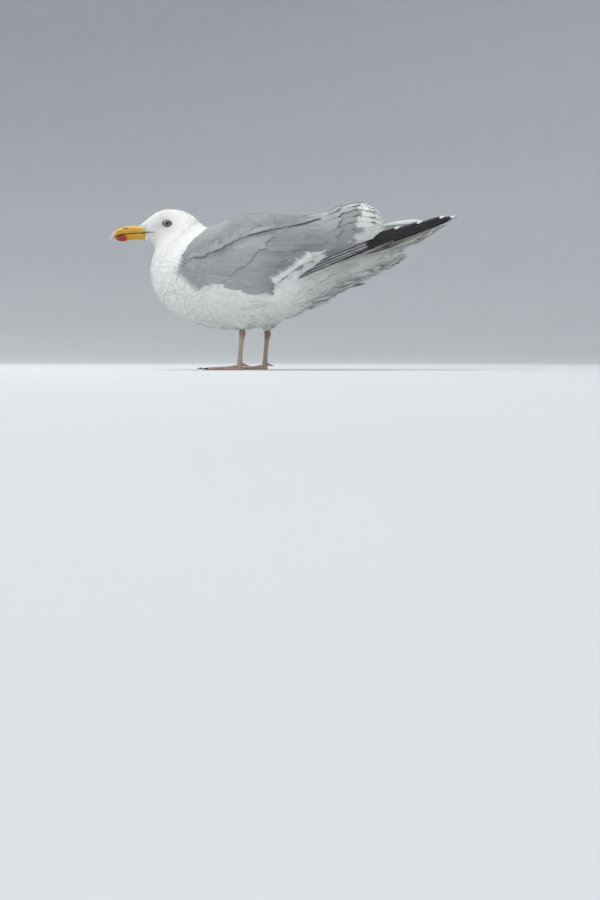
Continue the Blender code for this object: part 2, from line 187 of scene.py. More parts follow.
def mesh_object(name, verts, faces, finish=None):
    """An object from points in millimetres and faces."""
    mesh = bpy.data.meshes.new(name)
    mesh.from_pydata([tuple(v) for v in np.asarray(verts, float) * MM], [], faces)
    mesh.shade_smooth()
    obj = bpy.data.objects.new(name, mesh)
    scene.collection.objects.link(obj)
    if finish:
        mesh.materials.append(finish)
    return obj


def turned_out(mesh):
    """Turns a mesh's faces outwards."""
    form = bmesh.new()
    form.from_mesh(mesh)
    bmesh.ops.recalc_face_normals(form, faces=form.faces)
    form.to_mesh(mesh)
    form.free()


FLOOR_PROFILE = (  # radius and height of its rings
    (600, 0), (1500, 0), (2400, 0), (3000, 40), (3600, 190), (4200, 520), (4700, 1300), (4950, 2600),
    (5000, 5200),
)
FLOOR_SIDES = 96
SOFT_BOXES = (  # name, place in metres, size, power, colour
    ("sky_box", (-0.7, 0.5, 2.9), 2.6, 78.0, (1.0, 0.985, 0.96)),
    ("front_box", (-2.2, -0.9, 1.9), 1.6, 30.0, (1.0, 0.99, 0.97)),
    ("side_box", (0.5, -2.6, 1.6), 1.8, 15.0, (0.95, 0.98, 1.0)),
)
SKY_TINT, SKY_STRENGTH = (0.88, 0.94, 1.0, 1.0), 0.74

floor_finish = Finish("pale_floor", {"Specular IOR Level": 0.1})
spot, *_ = floor_finish.spot()
speckle = floor_finish.noise(spot, 9.0, 4.0)
floor_finish.finish(floor_finish.mix(speckle, (0.56, 0.575, 0.59), (0.58, 0.595, 0.61)), 0.75 + speckle * 0.1)
rim = [
    (r * math.cos(a), r * math.sin(a), z)
    for r, z in FLOOR_PROFILE
    for a in (2 * math.pi * i / FLOOR_SIDES for i in range(FLOOR_SIDES))
]
floor_faces = [(0, i + 1, (i + 1) % FLOOR_SIDES + 1) for i in range(FLOOR_SIDES)]
for ring in range(len(FLOOR_PROFILE) - 1):
    start = 1 + ring * FLOOR_SIDES
    for i in range(FLOOR_SIDES):
        j = (i + 1) % FLOOR_SIDES
        floor_faces.append((start + i, start + FLOOR_SIDES + i, start + FLOOR_SIDES + j, start + j))
floor = mesh_object("floor", [(0, 0, 0), *rim], floor_faces, floor_finish.material)

for name, spot_at, size, power, tint in SOFT_BOXES:
    light = bpy.data.lights.new(name, "AREA")
    light.size = size
    light.energy = power
    light.color = tint
    lamp = bpy.data.objects.new(name, light)
    lamp.location = spot_at
    lamp.rotation_euler = (Vector((0, 0, 0.15)) - Vector(spot_at)).to_track_quat("-Z", "Y").to_euler()
    scene.collection.objects.link(lamp)

sky = bpy.data.worlds.new("sky")
sky.use_nodes = True
sky.node_tree.nodes["Background"].inputs["Color"].default_value = SKY_TINT
sky.node_tree.nodes["Background"].inputs["Strength"].default_value = SKY_STRENGTH
scene.world = sky


# ---------------------------------------------------------------- skin
# One hide over the flesh of head, neck, trunk, rump, folded wings and thighs. It lies inside the solids
# by the depth of the feathers that root in it, and wears the same markings as they do.
SKIN_FAN = (  # slices across the body, each from its top point to its low point: x, z and x, z
    (-231.0, 227.5, -223.0, 205.0), (-222.0, 235.0, -214.5, 201.0), (-213.0, 241.5, -208.0, 198.0),
    (-190.5, 254.0, -204.5, 191.0), (-164.0, 254.2, -209.0, 179.0), (-150.5, 249.8, -212.0, 168.0),
    (-139.5, 243.0, -213.6, 155.0), (-130.0, 234.0, -211.6, 138.0), (-119.0, 227.6, -203.5, 117.5),
    (-103.0, 231.8, -186.0, 96.5), (-62.0, 247.2, -125.0, 66.0), (-33.0, 248.6, -84.0, 60.5),
    (0.0, 247.4, -40.0, 64.0), (35.0, 246.6, 0.0, 75.5), (67.0, 250.6, 36.0, 91.5),
    (97.0, 262.6, 70.0, 109.0), (122.0, 265.4, 103.0, 126.5), (143.0, 257.0, 132.0, 141.5),
    (155.5, 244.0, 155.0, 154.5), (162.5, 229.0, 176.0, 166.5),
)
SKIN_STATIONS = 184
SKIN_SIDES = 120
GAPE_NOTCH = 10.0  # how far the feather edge draws back along the gape
NODE_GAP = 1.1  # a face this close behind another lies between two nodes
GREY_NODES = (
    "mantle", "wing_left_coverts", "wing_right_coverts", "wing_left_tertials", "wing_right_tertials",
)
WHITE_NODES = ("head", "neck", "trunk", "rump")
THIGH_NODES = ("thigh_left", "thigh_right")
EYE_NODES = ("eye_left", "eye_right")


def corners(node):
    """A CAD node's points, in millimetres, and its triangles."""
    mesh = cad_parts[node].data
    mesh.calc_loop_triangles()
    points = np.empty(len(mesh.vertices) * 3)
    mesh.vertices.foreach_get("co", points)
    faces = np.empty(len(mesh.loop_triangles) * 3, int)
    mesh.loop_triangles.foreach_get("vertices", faces)
    return points.reshape(-1, 3) / MM, faces.reshape(-1, 3)


def merged(nodes):
    """The points and triangles of several CAD nodes together, and the index of the node of each triangle."""
    parts = [corners(node) for node in nodes]
    starts = np.cumsum([0, *(len(points) for points, _ in parts)])
    faces = np.vstack([own + start for (_, own), start in zip(parts, starts)])
    owner = np.repeat(np.arange(len(nodes)), [len(own) for _, own in parts])
    return np.vstack([points for points, _ in parts]), faces, owner


def shell_of(nodes):
    """The outer faces of several nodes as one tree, and the index of the node of each face. Faces that
    look into the thin gap between two nodes are left out."""
    points, faces, owner = merged(nodes)
    whole = BVHTree.FromPolygons(points.tolist(), faces.tolist())
    kept = []
    for i, (a, b, c) in enumerate(points[faces]):
        normal = np.cross(b - a, c - a)
        length = np.linalg.norm(normal)
        if length < 1e-6:
            continue
        normal /= length
        start = (a + b + c) / 3 + normal * 0.02
        if whole.ray_cast(Vector(start), Vector(normal), NODE_GAP)[0] is None:
            kept.append(i)
    return BVHTree.FromPolygons(points.tolist(), faces[kept].tolist()), owner[kept]


def eased(rows, steps):
    """Rows of numbers with more between each two, on a smooth curve through them."""
    rows = np.asarray(rows, float)
    padded = np.vstack([rows[0], rows, rows[-1]])
    made = []
    for a, b, c, d in zip(padded, padded[1:], padded[2:], padded[3:]):
        bend, twist = 2 * a - 5 * b + 4 * c - d, 3 * b - a - 3 * c + d
        for t in np.arange(steps) / steps:
            made.append(0.5 * (2 * b + (c - a) * t + bend * t**2 + twist * t**3))
    return np.array([*made, rows[-1]])


def smoothed(line, rounds=1):
    """A line of points, or of rings, averaged with its neighbours but for its ends."""
    for _ in range(rounds):
        line = np.concatenate([line[:1], (line[:-2] + 2 * line[1:-1] + line[2:]) / 4, line[-1:]])
    return line


def softened(grid, rounds):
    """A grid of numbers averaged with its neighbours along the body and round it."""
    for _ in range(rounds):
        along = smoothed(grid)
        grid = (np.roll(along, 1, 1) + 2 * along + np.roll(along, -1, 1)) / 4
    return grid


def beside(grid):
    """A grid and its four neighbours, along the body and round it."""
    walls = np.pad(grid, ((1, 1), (0, 0)), "edge")
    return [walls[:-2], walls[2:], grid, np.roll(grid, 1, 1), np.roll(grid, -1, 1)]


SHELL_NODES = (*WHITE_NODES, *THIGH_NODES, *GREY_NODES, *EYE_NODES)
body_shell, shell_owner = shell_of(SHELL_NODES)

dense = eased(SKIN_FAN, 24)
steps = np.linalg.norm(np.diff(dense.reshape(-1, 2, 2), axis=0), axis=2).mean(1)
reach = np.concatenate([[0], np.cumsum(steps)])
stations = np.linspace(0, reach[-1], SKIN_STATIONS)
fan = np.array([np.interp(stations, reach, dense[:, i]) for i in range(4)]).T
angles = 2 * np.pi * np.arange(SKIN_SIDES) / SKIN_SIDES

radius, greyness, back_share = (np.full((SKIN_STATIONS, SKIN_SIDES), blank) for blank in (np.nan, 0.0, 0.0))
origin, outward = np.zeros((2, SKIN_STATIONS, SKIN_SIDES, 3))
for k, (top_x, top_z, low_x, low_z) in enumerate(fan):
    middle = np.array([(top_x + low_x) / 2, 0, (top_z + low_z) / 2])
    up = np.array([top_x - low_x, 0, top_z - low_z])
    half_length = np.linalg.norm(up) / 2
    up /= np.linalg.norm(up)
    notch = GAPE_NOTCH * max(0.0, 1 - stations[k] / 11.0)
    for j, angle in enumerate(angles):
        outward[k, j] = up * math.cos(angle) + np.array([0, math.sin(angle), 0])
        origin[k, j] = middle + np.array([notch * math.sin(angle) ** 2, 0, 0])
        hit, _, face, distance = body_shell.ray_cast(Vector(origin[k, j]), Vector(outward[k, j]), 140)
        if hit is None or abs(math.sin(angle)) < 0.4 and distance > half_length + 4.0:
            continue  # it slipped out between two solids
        radius[k, j] = distance
        node = SHELL_NODES[shell_owner[face]]
        greyness[k, j] = node in GREY_NODES
        back_share[k, j] = node == "mantle"

for k in range(SKIN_STATIONS):
    known = ~np.isnan(radius[k])
    if known.sum() < SKIN_SIDES / 3:
        radius[k] = radius[k - 1]
        continue
    where = np.arange(SKIN_SIDES)
    radius[k] = np.interp(where, where[known], radius[k][known], period=SKIN_SIDES)
mirror = -np.arange(SKIN_SIDES) % SKIN_SIDES
radius = (radius + radius[:, mirror]) / 2
greyness = np.maximum(greyness, greyness[:, mirror])
for widen in (True,) * 3 + (False,) * 3:  # closes the cracks in the grey
    greyness = (np.max if widen else np.min)(beside(greyness), axis=0)
joined = np.zeros_like(greyness)
joined[0] = 1.0
for _ in range(SKIN_STATIONS + SKIN_SIDES):  # white that isn't joined to the face's is a hole in the grey
    joined = np.max(beside(joined), axis=0) * (greyness < 0.5)
greyness[(greyness < 0.5) & (joined < 0.5)] = 1.0
back_share = np.maximum(back_share, back_share[:, mirror])
for _ in range(2):  # a lone ray that slipped into a gap is pulled back to its neighbours
    walls = np.pad(radius, ((1, 1), (0, 0)), "edge")
    rows = [np.roll(walls, a, 0)[1:-1] for a in (-1, 0, 1)]
    around = np.median([np.roll(row, b, 1) for row in rows for b in (-1, 0, 1)], axis=0)
    off = np.abs(radius - around) > 1.2
    radius[off] = around[off]
radius = softened(radius, 4)
greyness = softened(greyness, 1)
back_share = softened(back_share, 2)
surface = origin + outward * radius[:, :, None]

THIGH_REACH, THIGH_FOOT, THIGH_TOP = 21.0, 66.0, 100.0  # the feathered thigh's half-width, low end and top
for side in ("left", "right"):
    (low_x, low_y, _), (high_x, high_y, _) = (np.array(p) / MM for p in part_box(f"shank_{side}"))
    leg_x, leg_y = (low_x + high_x) / 2 + 2.0, (low_y + high_y) / 2
    off = np.hypot((surface[:, :, 0] - leg_x) * 0.8, surface[:, :, 1] - leg_y)
    share = np.clip(1 - off / THIGH_REACH, 0, 1) * (surface[:, :, 2] < THIGH_TOP)
    share = share * share * (3 - 2 * share)
    surface[:, :, 2] += (np.minimum(THIGH_FOOT, surface[:, :, 2]) - surface[:, :, 2]) * share


def grid_slopes(points):
    """Unit vectors along the body and out of it at each point of the grid."""
    along = np.gradient(points, axis=0)
    round_ = (np.roll(points, -1, 1) - np.roll(points, 1, 1)) / 2
    out = np.cross(round_, along)
    along /= np.linalg.norm(along, axis=2, keepdims=True) + 1e-9
    out /= np.linalg.norm(out, axis=2, keepdims=True) + 1e-9
    return along, out


flow, normals = grid_slopes(surface)
if (normals * outward).sum() < 0:
    normals = -normals

FACE_DEPTH, NECK_DEPTH, BODY_DEPTH, WING_DEPTH, BACK_DEPTH = 0.7, 1.6, 2.4, 3.0, 1.8
bill_base = np.array([-224.0, 0.0, 216.0])
from_bill = np.linalg.norm(surface - bill_base, axis=2)
depth = np.interp(from_bill, [8, 25, 60, 110], [FACE_DEPTH, FACE_DEPTH + 0.2, NECK_DEPTH, BODY_DEPTH])
depth = depth * (1 - greyness) + greyness * (WING_DEPTH + (BACK_DEPTH - WING_DEPTH) * back_share)
EYE_CENTRE = {side: sum(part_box(f"eye_{side}"), Vector()) / 2 / MM for side in ("left", "right")}
SOCKET_DEPTH, SOCKET_REACH = 2.2, 9.0  # the hollow of the skin round each eye
from_eyes = [np.linalg.norm(surface - np.array(middle), axis=2) for middle in EYE_CENTRE.values()]
for from_eye in from_eyes:
    depth += SOCKET_DEPTH * np.exp(-((from_eye / SOCKET_REACH) ** 4))
depth = softened(depth, 2)
skin_points = surface - normals * depth[:, :, None]

front_pole, tail_pole = bill_base + np.array([2.0, 0, 0]), np.array([172.0, 0.0, 198.0])
first_ring, last_ring = skin_points[0] * 0.55 + front_pole * 0.45, skin_points[-1] * 0.55 + tail_pole * 0.45
rings = np.concatenate([first_ring[None], skin_points, last_ring[None]])
skin_verts = np.vstack([front_pole[None], rings.reshape(-1, 3), tail_pole[None]])
ring_v = np.concatenate([[0.004], 0.01 + 0.98 * stations / stations[-1], [0.996]])
skin_faces, last = [], len(skin_verts) - 1
for i in range(SKIN_SIDES):
    j = (i + 1) % SKIN_SIDES
    skin_faces.append((0, 1 + j, 1 + i))
    skin_faces.append((last - SKIN_SIDES + i, last - SKIN_SIDES + j, last))
    for start in range(1, last - SKIN_SIDES, SKIN_SIDES):
        skin_faces.append((start + i, start + j, start + SKIN_SIDES + j, start + SKIN_SIDES + i))

# Markings, kept on the same grid for the skin and the feathers. Tone goes from white to grey, shade is painted
# light and shade that makes it lighter or darker, and stain is a worn buff, with a painted warm shadow at the
# throat.
tone_map, stain_and_throat_shadow_map, painted_shading_map = greyness.copy(), np.zeros_like(greyness), np.zeros_like(greyness)
skin_x, skin_y, skin_z = surface[:, :, 0], surface[:, :, 1], surface[:, :, 2]


def smudge(x, z, wide, high, lean=0.0):
    """A soft spot on both sides of the body."""
    u, v = skin_x - x, skin_z - z
    return np.exp(-(((u + v * lean) / wide) ** 2) - (((v - u * lean) / high) ** 2))


tone_map += 0.30 * smudge(-184, 229, 11, 7)  # about the eye
tone_map += 0.22 * smudge(-201, 224, 13, 4.5, 0.35)  # before it
tone_map += 0.10 * smudge(-176, 222, 16, 9)  # and on the cheek
tone_map *= 1 - np.clip((skin_x - 124) / 16, 0, 1) * (skin_z > 190)  # the rump is white
stain_and_throat_shadow_map += 0.14 * smudge(-203, 203, 7, 5)  # painted warm shadow at the throat
stain_and_throat_shadow_map += 0.10 * smudge(92, 258, 34, 6)  # ends of the wings
painted_shading_map -= 1.6 * greyness * (smudge(-34, 122, 34, 12) + 0.7 * smudge(-150, 147, 14, 14))  # painted shade low on the wing
# painted shade: the mantle, which faces up to the light, is made darker
painted_shading_map -= 2.7 * greyness * back_share
painted_shading_map -= 2.2 * (1 - greyness) * np.clip((skin_x - 20) / 100, 0, 1) * (skin_z < 195)  # painted shade under the rump
painted_shading_map -= 5.0 * smudge(34, 163, 20, 4.0, 0.9) * (np.abs(skin_y) > 30)  # painted shadow under the secondaries
painted_shading_map -= 1.3 * np.clip((85 - from_bill) / 40, 0, 1)  # painted shade on the face
painted_shading_map += 0.9 * (1 - greyness) * smudge(-20, 112, 70, 26)  # painted light on the belly and flank

WHITE_TINT = (0.80, 0.80, 0.78)
GREY_TINT = (0.338, 0.354, 0.364)
STAIN_TINT = (0.20, 0.165, 0.13)

feather = Finish("plumage", {"Specular IOR Level": 0.25, "Sheen Weight": 0.15, "Sheen Roughness": 0.6})
spot, x, *_ = feather.spot()
saddle = x.rise(-0.045, 0.0) * x.rise(0.078, 0.045)  # the grey is deeper across the middle of the wing
mottle = feather.noise(spot, 38.0, 3.0) - 0.5
fine = feather.noise(spot, 420.0, 2.0) - 0.5
tone = feather.kept("tone").held()
base = feather.lit(feather.mix(tone, WHITE_TINT, GREY_TINT), 1.0 - saddle * tone * 0.25)
base = feather.lit(base, 1.0 + feather.kept("shade") * 0.10 + mottle * (0.05 + tone * 0.10) + fine * 0.04)
base = feather.mix(feather.kept("stain").held(), base, STAIN_TINT)
streaks = feather.noise(feather.stretched(spot, (16.0, 240.0, 240.0), (0.0, 0.28, 0.0)), 1.0, 3.0) - 0.5
base = feather.lit(base, 1.0 + streaks * (0.06 + tone * 0.20))
barbs = feather.noise(feather.stretched(spot, (60.0, 500.0, 500.0)), 3.0, 2.0)
plumage_finish = feather.finish(base, 0.78 + fine * 0.15, barbs, 0.0002, 0.35)

skin = mesh_object("skin", skin_verts, skin_faces, plumage_finish)
turned_out(skin.data)


def keep(mesh, name, numbers):
    """Numbers kept on the mesh's points."""
    found = mesh.attributes.get(name) or mesh.attributes.new(name, "FLOAT", "POINT")
    found.data.foreach_set("value", np.asarray(numbers, np.float32))


def unwrap(mesh, points_uv):
    """The unwrap, from a place for each point. A face that comes round to the start goes on past it."""
    corner = np.empty(len(mesh.loops), int)
    mesh.loops.foreach_get("vertex_index", corner)
    uv = np.asarray(points_uv)[corner]
    for face in mesh.polygons:
        own = slice(face.loop_start, face.loop_start + face.loop_total)
        if uv[own, 0].max() - uv[own, 0].min() > 0.5:
            uv[own, 0] += uv[own, 0] < 0.4
    mesh.uv_layers.new(name="OFBake").data.foreach_set("uv", uv.reshape(-1).astype(np.float32))


point_v = np.concatenate([[0.0], np.repeat(ring_v, SKIN_SIDES), [1.0]])
point_u = np.concatenate([[0.5], np.tile(np.arange(SKIN_SIDES) / SKIN_SIDES, len(rings)), [0.5]])
unwrap(skin.data, np.stack([point_u, point_v], 1))
for key, numbers in (("tone", tone_map), ("stain", stain_and_throat_shadow_map), ("shade", painted_shading_map)):
    ring_numbers = np.concatenate([numbers[:1], numbers, numbers[-1:]])
    keep(skin.data, key, np.concatenate([numbers[0, :1], ring_numbers.reshape(-1), numbers[-1, :1]]))
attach(skin, "root")
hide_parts(*WHITE_NODES, *GREY_NODES, *THIGH_NODES)


# ---------------------------------------------------------------- small feathers
# Short overlapping vanes all over the skin, each rooted in it and lying back along the body. They are
# smallest on the face, and their frayed ends break up the outline of the belly and flanks.
OFBAKE_PATCH = 0.003  # each vane's width on the unwrap
EYE_OPENING = (6.6, 4.7)  # half-widths of the bare patch, along and up


def small_vane(name, seed, last, splay=1.0):
    """A unit feather, root at 0 and tip at 1 along X, with a ridge on top and a frayed end that starts at
    last."""
    draw = np.random.default_rng(seed)
    thick = 0.009

    def at(x, y, lift=0.0):
        return (x, y * 0.5, 0.015 * x - 0.062 * x * x - 0.02 * abs(y) ** 1.5 * min(1.0, x * 3) + lift)

    points = [at(0, -0.3), at(0, 0, thick * 2), at(0, 0.3)]
    points += [at(0.35, -0.97), at(0.35, 0, thick), at(0.35, 0.97)]
    row = (-0.88, -0.45, 0.0, 0.45, 0.88)
    points += [at(last + 0.06 * (1 - y * y), y, thick * (abs(y) < 0.6)) for y in row]
    points += [at(0.45, y, -thick) for y in row[1:4]]  # the underside stays well behind the frayed end
    ends = zip((-0.66, -0.24, 0.22, 0.62), (0.86, 1.0, 0.97, 0.88))
    points += [
        at(x + draw.uniform(-0.07, 0.04), splay * y + draw.uniform(-0.08, 0.08), draw.uniform(-0.008, 0.0))
        for y, x in ends
    ]
    faces = [
        (0, 2, 1), (0, 1, 4, 3), (1, 2, 5, 4), (3, 4, 8, 7, 6), (4, 5, 10, 9, 8),
        (0, 3, 5, 2), (3, 6, 11, 12, 13, 10, 5),
        (6, 7, 14), (7, 8, 15), (8, 9, 16), (9, 10, 17),
        (6, 14, 11), (11, 15, 12), (12, 16, 13), (13, 17, 10),
        (7, 11, 14), (11, 7, 15), (8, 12, 15), (12, 8, 16), (9, 13, 16), (13, 9, 17),
    ]
    vane = mesh_object(name, np.array(points) / MM, faces)
    turned_out(vane.data)
    keep(vane.data, "along", [p[0] for p in points])
    keep(vane.data, "across", [p[1] for p in points])
    return vane


def kept_group(name, objects):
    """Moves objects out of the scene into a store of their own."""
    group = bpy.data.collections.new(name)
    for obj in objects:
        scene.collection.objects.unlink(obj)
        group.objects.link(obj)
    return group


VANE_KINDS = 5  # how many shapes the broad ones have, and the fine ones
broad_vanes = kept_group("broad_vanes", [small_vane(f"broad_{i}", 10 + i, 0.80) for i in range(VANE_KINDS)])
fine_vanes = kept_group("fine_vanes", [small_vane(f"fine_{i}", 30 + i, 0.62, 1.08) for i in range(VANE_KINDS)])


def feathering():
    """The node tree that sets a vane on every root and turns the lot into one mesh."""
    tree = bpy.data.node_groups.new("feathering", "GeometryNodeTree")
    tree.is_modifier = True
    sockets = {}
    for name, kind in (
        ("Geometry", "Geometry"), ("Vanes", "Collection"), ("Patch", "Float"), ("Ruffle", "Float"),
        ("Seed", "Int"), ("Finish", "Material"),
    ):
        made = tree.interface.new_socket(name, in_out="INPUT", socket_type=f"NodeSocket{kind}")
        sockets[name] = made.identifier
    tree.interface.new_socket("Geometry", in_out="OUTPUT", socket_type="NodeSocketGeometry")
    given = tree.nodes.new("NodeGroupInput").outputs

    def node(kind, settings, values):
        return place(tree, kind, settings, values).outputs[0]

    def kept(name, kind):
        return node("GeometryNodeInputNamedAttribute", {"data_type": kind}, {"Name": name})

    def scaled(vector, factor):
        return node("ShaderNodeVectorMath", {"operation": "SCALE"}, {0: vector, "Scale": factor})

    choice = {"Collection": given["Vanes"], "Separate Children": True, "Reset Children": True}
    vanes = node("GeometryNodeCollectionInfo", None, choice)
    ahead, out = kept("heading", "FLOAT_VECTOR"), kept("outward", "FLOAT_VECTOR")
    facing = node(
        "FunctionNodeAxesToRotation", {"primary_axis": "X", "secondary_axis": "Z"},
        {"Primary Axis": ahead, "Secondary Axis": out},
    )
    low, high = (scaled((limit,) * 3, given["Ruffle"]) for limit in (-1.0, 1.0))
    limits = {0: low, 1: high, "Seed": given["Seed"]}
    turn = node("FunctionNodeRandomValue", {"data_type": "FLOAT_VECTOR"}, limits)
    ruffled = node("FunctionNodeRotateRotation", {"rotation_space": "LOCAL"}, {0: facing, 1: turn})
    set_on = node("GeometryNodeInstanceOnPoints", None, {
        "Points": given["Geometry"], "Instance": vanes, "Pick Instance": True,
        "Instance Index": kept("kind", "INT"), "Rotation": ruffled, "Scale": kept("size", "FLOAT_VECTOR"),
    })
    real = node("GeometryNodeRealizeInstances", None, {0: set_on})
    within = node("ShaderNodeCombineXYZ", None, {0: kept("across", "FLOAT"), 1: kept("along", "FLOAT")})
    patch = scaled(within, given["Patch"])
    uv = node("ShaderNodeVectorMath", {"operation": "ADD"}, {0: kept("root", "FLOAT_VECTOR"), 1: patch})
    unwrapped = node(
        "GeometryNodeStoreNamedAttribute", {"data_type": "FLOAT2", "domain": "CORNER"},
        {"Geometry": real, "Name": "OFBake", "Value": uv},
    )
    finished = node("GeometryNodeSetMaterial", None, {"Geometry": unwrapped, "Material": given["Finish"]})
    tree.links.new(finished, tree.nodes.new("NodeGroupOutput").inputs[0])
    return tree, sockets


feathering_tree, feathering_sockets = feathering()


def settled(mesh, share=0.85):
    """Turns the vanes' shading most of the way to that of the skin below, as soft feathers look, and
    that of their undersides the other way."""
    own, sizes = np.empty(len(mesh.polygons) * 3, np.float32), np.empty(len(mesh.polygons), int)
    below, corner = np.empty(len(mesh.vertices) * 3, np.float32), np.empty(len(mesh.loops), int)
    mesh.polygons.foreach_get("normal", own)
    mesh.polygons.foreach_get("loop_total", sizes)
    mesh.attributes["outward"].data.foreach_get("vector", below)
    mesh.loops.foreach_get("vertex_index", corner)
    own, below = np.repeat(own.reshape(-1, 3), sizes, 0), below.reshape(-1, 3)[corner]
    facing = np.where((own * below).sum(1, keepdims=True) < 0, -1.0, 1.0)
    mixed = own * (1 - share) + below * facing * share
    mixed /= np.linalg.norm(mixed, axis=1, keepdims=True) + 1e-9
    mesh.normals_split_custom_set(mixed.tolist())


def feathered(name, roots, vanes, finish, ruffle, seed):
    """One mesh of vanes from a table of roots."""
    points = bpy.data.meshes.new(f"{name}_roots")
    points.from_pydata([tuple(p) for p in roots["place"] * MM], [], [])
    for key, kind, numbers in (
        ("heading", "FLOAT_VECTOR", roots["heading"]), ("outward", "FLOAT_VECTOR", roots["outward"]),
        ("size", "FLOAT_VECTOR", roots["size"] * MM), ("root", "FLOAT_VECTOR", roots["uv"]),
        ("tone", "FLOAT", roots["tone"]), ("shade", "FLOAT", roots["shade"]),
        ("stain", "FLOAT", roots["stain"]), ("kind", "INT", roots["kind"]),
    ):
        layer = points.attributes.new(key, kind, "POINT")
        flat = np.ascontiguousarray(numbers).reshape(-1).astype(int if kind == "INT" else np.float32)
        layer.data.foreach_set("vector" if kind == "FLOAT_VECTOR" else "value", flat)
    obj = bpy.data.objects.new(name, points)
    scene.collection.objects.link(obj)
    grow = obj.modifiers.new("feathering", "NODES")
    grow.node_group = feathering_tree
    for key, given in (
        ("Vanes", vanes), ("Patch", OFBAKE_PATCH), ("Ruffle", ruffle), ("Seed", seed), ("Finish", finish),
    ):
        grow[feathering_sockets[key]] = given
    bpy.context.view_layer.update()
    graph = bpy.context.evaluated_depsgraph_get()
    grown = obj.evaluated_get(graph)
    mesh = bpy.data.meshes.new_from_object(grown, preserve_all_data_layers=True, depsgraph=graph)
    obj.modifiers.clear()
    obj.data = mesh
    mesh.name = name
    settled(mesh)
    for spare in ("heading", "outward", "size", "root", "kind"):
        if mesh.attributes.get(spare):
            mesh.attributes.remove(mesh.attributes[spare])
    mesh.shade_smooth()
    return obj


def grid_sample(grid, row, column):
    """A grid's value between its points, at fractional rows and columns."""
    k = np.clip(row.astype(int), 0, SKIN_STATIONS - 2)
    a = (row - k)[:, None]
    j = np.floor(column).astype(int)
    b = (column - j)[:, None]
    j0, j1 = j % SKIN_SIDES, (j + 1) % SKIN_SIDES
    g = grid if grid.ndim == 3 else grid[:, :, None]
    near = g[k, j0] * (1 - b) + g[k, j1] * b
    far = g[k + 1, j0] * (1 - b) + g[k + 1, j1] * b
    mixed = near * (1 - a) + far * a
    return mixed if grid.ndim == 3 else mixed[:, 0]


def scattered(spacing, wanted, draw, candidates):
    """Fractional rows and columns of roots that keep the local spacing from each other."""
    far = np.roll(skin_points, -1, 1)
    down = skin_points[1:] - skin_points[:-1]
    area = np.linalg.norm(np.cross(down, (far - skin_points)[:-1]), axis=2)
    weight = (area / spacing[:-1] ** 2 * wanted[:-1]).reshape(-1)
    chosen = draw.choice(len(weight), candidates, p=weight / weight.sum())
    row = chosen // SKIN_SIDES + draw.random(candidates)
    column = chosen % SKIN_SIDES + draw.random(candidates)
    at = grid_sample(skin_points, row, column)
    room = grid_sample(spacing, row, column)
    tree = KDTree(candidates)
    for i, p in enumerate(at):
        tree.insert(p, i)
    tree.balance()
    taken = np.zeros(candidates, bool)
    kept = []
    for i in range(candidates):
        if taken[i]:
            continue
        kept.append(i)
        for _, other, _ in tree.find_range(at[i], room[i]):
            taken[other] = True
    return row[kept], column[kept]


length = np.interp(from_bill, [0, 10, 28, 55, 90, 140, 230], [2.2, 2.8, 4.6, 7.5, 10.5, 13.0, 14.5])
under = np.clip((np.cos(angles)[None, :] * -1 + 0.35) / 1.0, 0, 1)
length = length + under * np.interp(skin_x, [-60, 20, 90, 150], [0, 2.0, 8.0, 13.0])
length = np.minimum(length, np.interp(np.min(from_eyes, axis=0), [8, 12, 22, 34], [2.2, 2.8, 5.0, 30.0]))
greys = greyness > 0.5
length = np.where(greys, np.interp(skin_x, [-160, -110, -40, 60], [8.5, 11.0, 17.0, 21.0]), length)
length = softened(length, 3)
ROOT_UNEVEN = 0.2  # how much one vane differs from the next in shade


def unwrap_height(row):
    """How far up the skin's unwrap a row lies."""
    return 0.01 + 0.98 * row / (SKIN_STATIONS - 1)


def past_eye(x, z, middle):
    """How far out of an eye's opening a place lies; 1 on its rim."""
    return np.hypot((x - middle[0]) / EYE_OPENING[0], (z - middle[2]) / EYE_OPENING[1])


def roots_from(row, column, draw, width, tilt, jitter):
    """The table of roots for vanes at these places on the skin."""
    count = len(row)
    at = grid_sample(skin_points, row, column)
    out = grid_sample(normals, row, column)
    out /= np.linalg.norm(out, axis=1, keepdims=True)
    ahead = grid_sample(flow, row, column)
    size = grid_sample(length, row, column) * draw.uniform(0.85, 1.15, count)
    side = np.cross(out, ahead)
    ahead = ahead + side * draw.normal(0, jitter, count)[:, None]
    ahead -= out * (ahead * out).sum(1, keepdims=True)
    ahead /= np.linalg.norm(ahead, axis=1, keepdims=True)
    lean = np.radians(tilt) * draw.uniform(0.7, 1.3, count)[:, None]
    heading = ahead * np.cos(lean) + out * np.sin(lean)
    for middle in EYE_CENTRE.values():
        for _ in range(3):
            tip = at + heading * size[:, None]
            inside = (past_eye(tip[:, 0], tip[:, 2], middle) < 1.08) & (at[:, 1] * middle[1] > 0)
            size = np.where(inside, size * 0.7, size)
    return {
        "place": at, "heading": heading, "outward": out, "size": np.stack([size, size * width, size], 1),
        "uv": np.stack([column / SKIN_SIDES % 1.0, unwrap_height(row), np.zeros(count)], 1),
        "tone": grid_sample(tone_map, row, column), "stain": grid_sample(stain_and_throat_shadow_map, row, column),
        "shade": grid_sample(painted_shading_map, row, column) + draw.normal(0, ROOT_UNEVEN, count).clip(-1, 1),
        "kind": draw.integers(0, VANE_KINDS, count), "row": row, "column": column,
        "grey": grid_sample(greyness, row, column) > 0.5,
    }


def picked(roots, mask):
    """Some rows of a table of roots."""
    return {key: numbers[mask] for key, numbers in roots.items()}


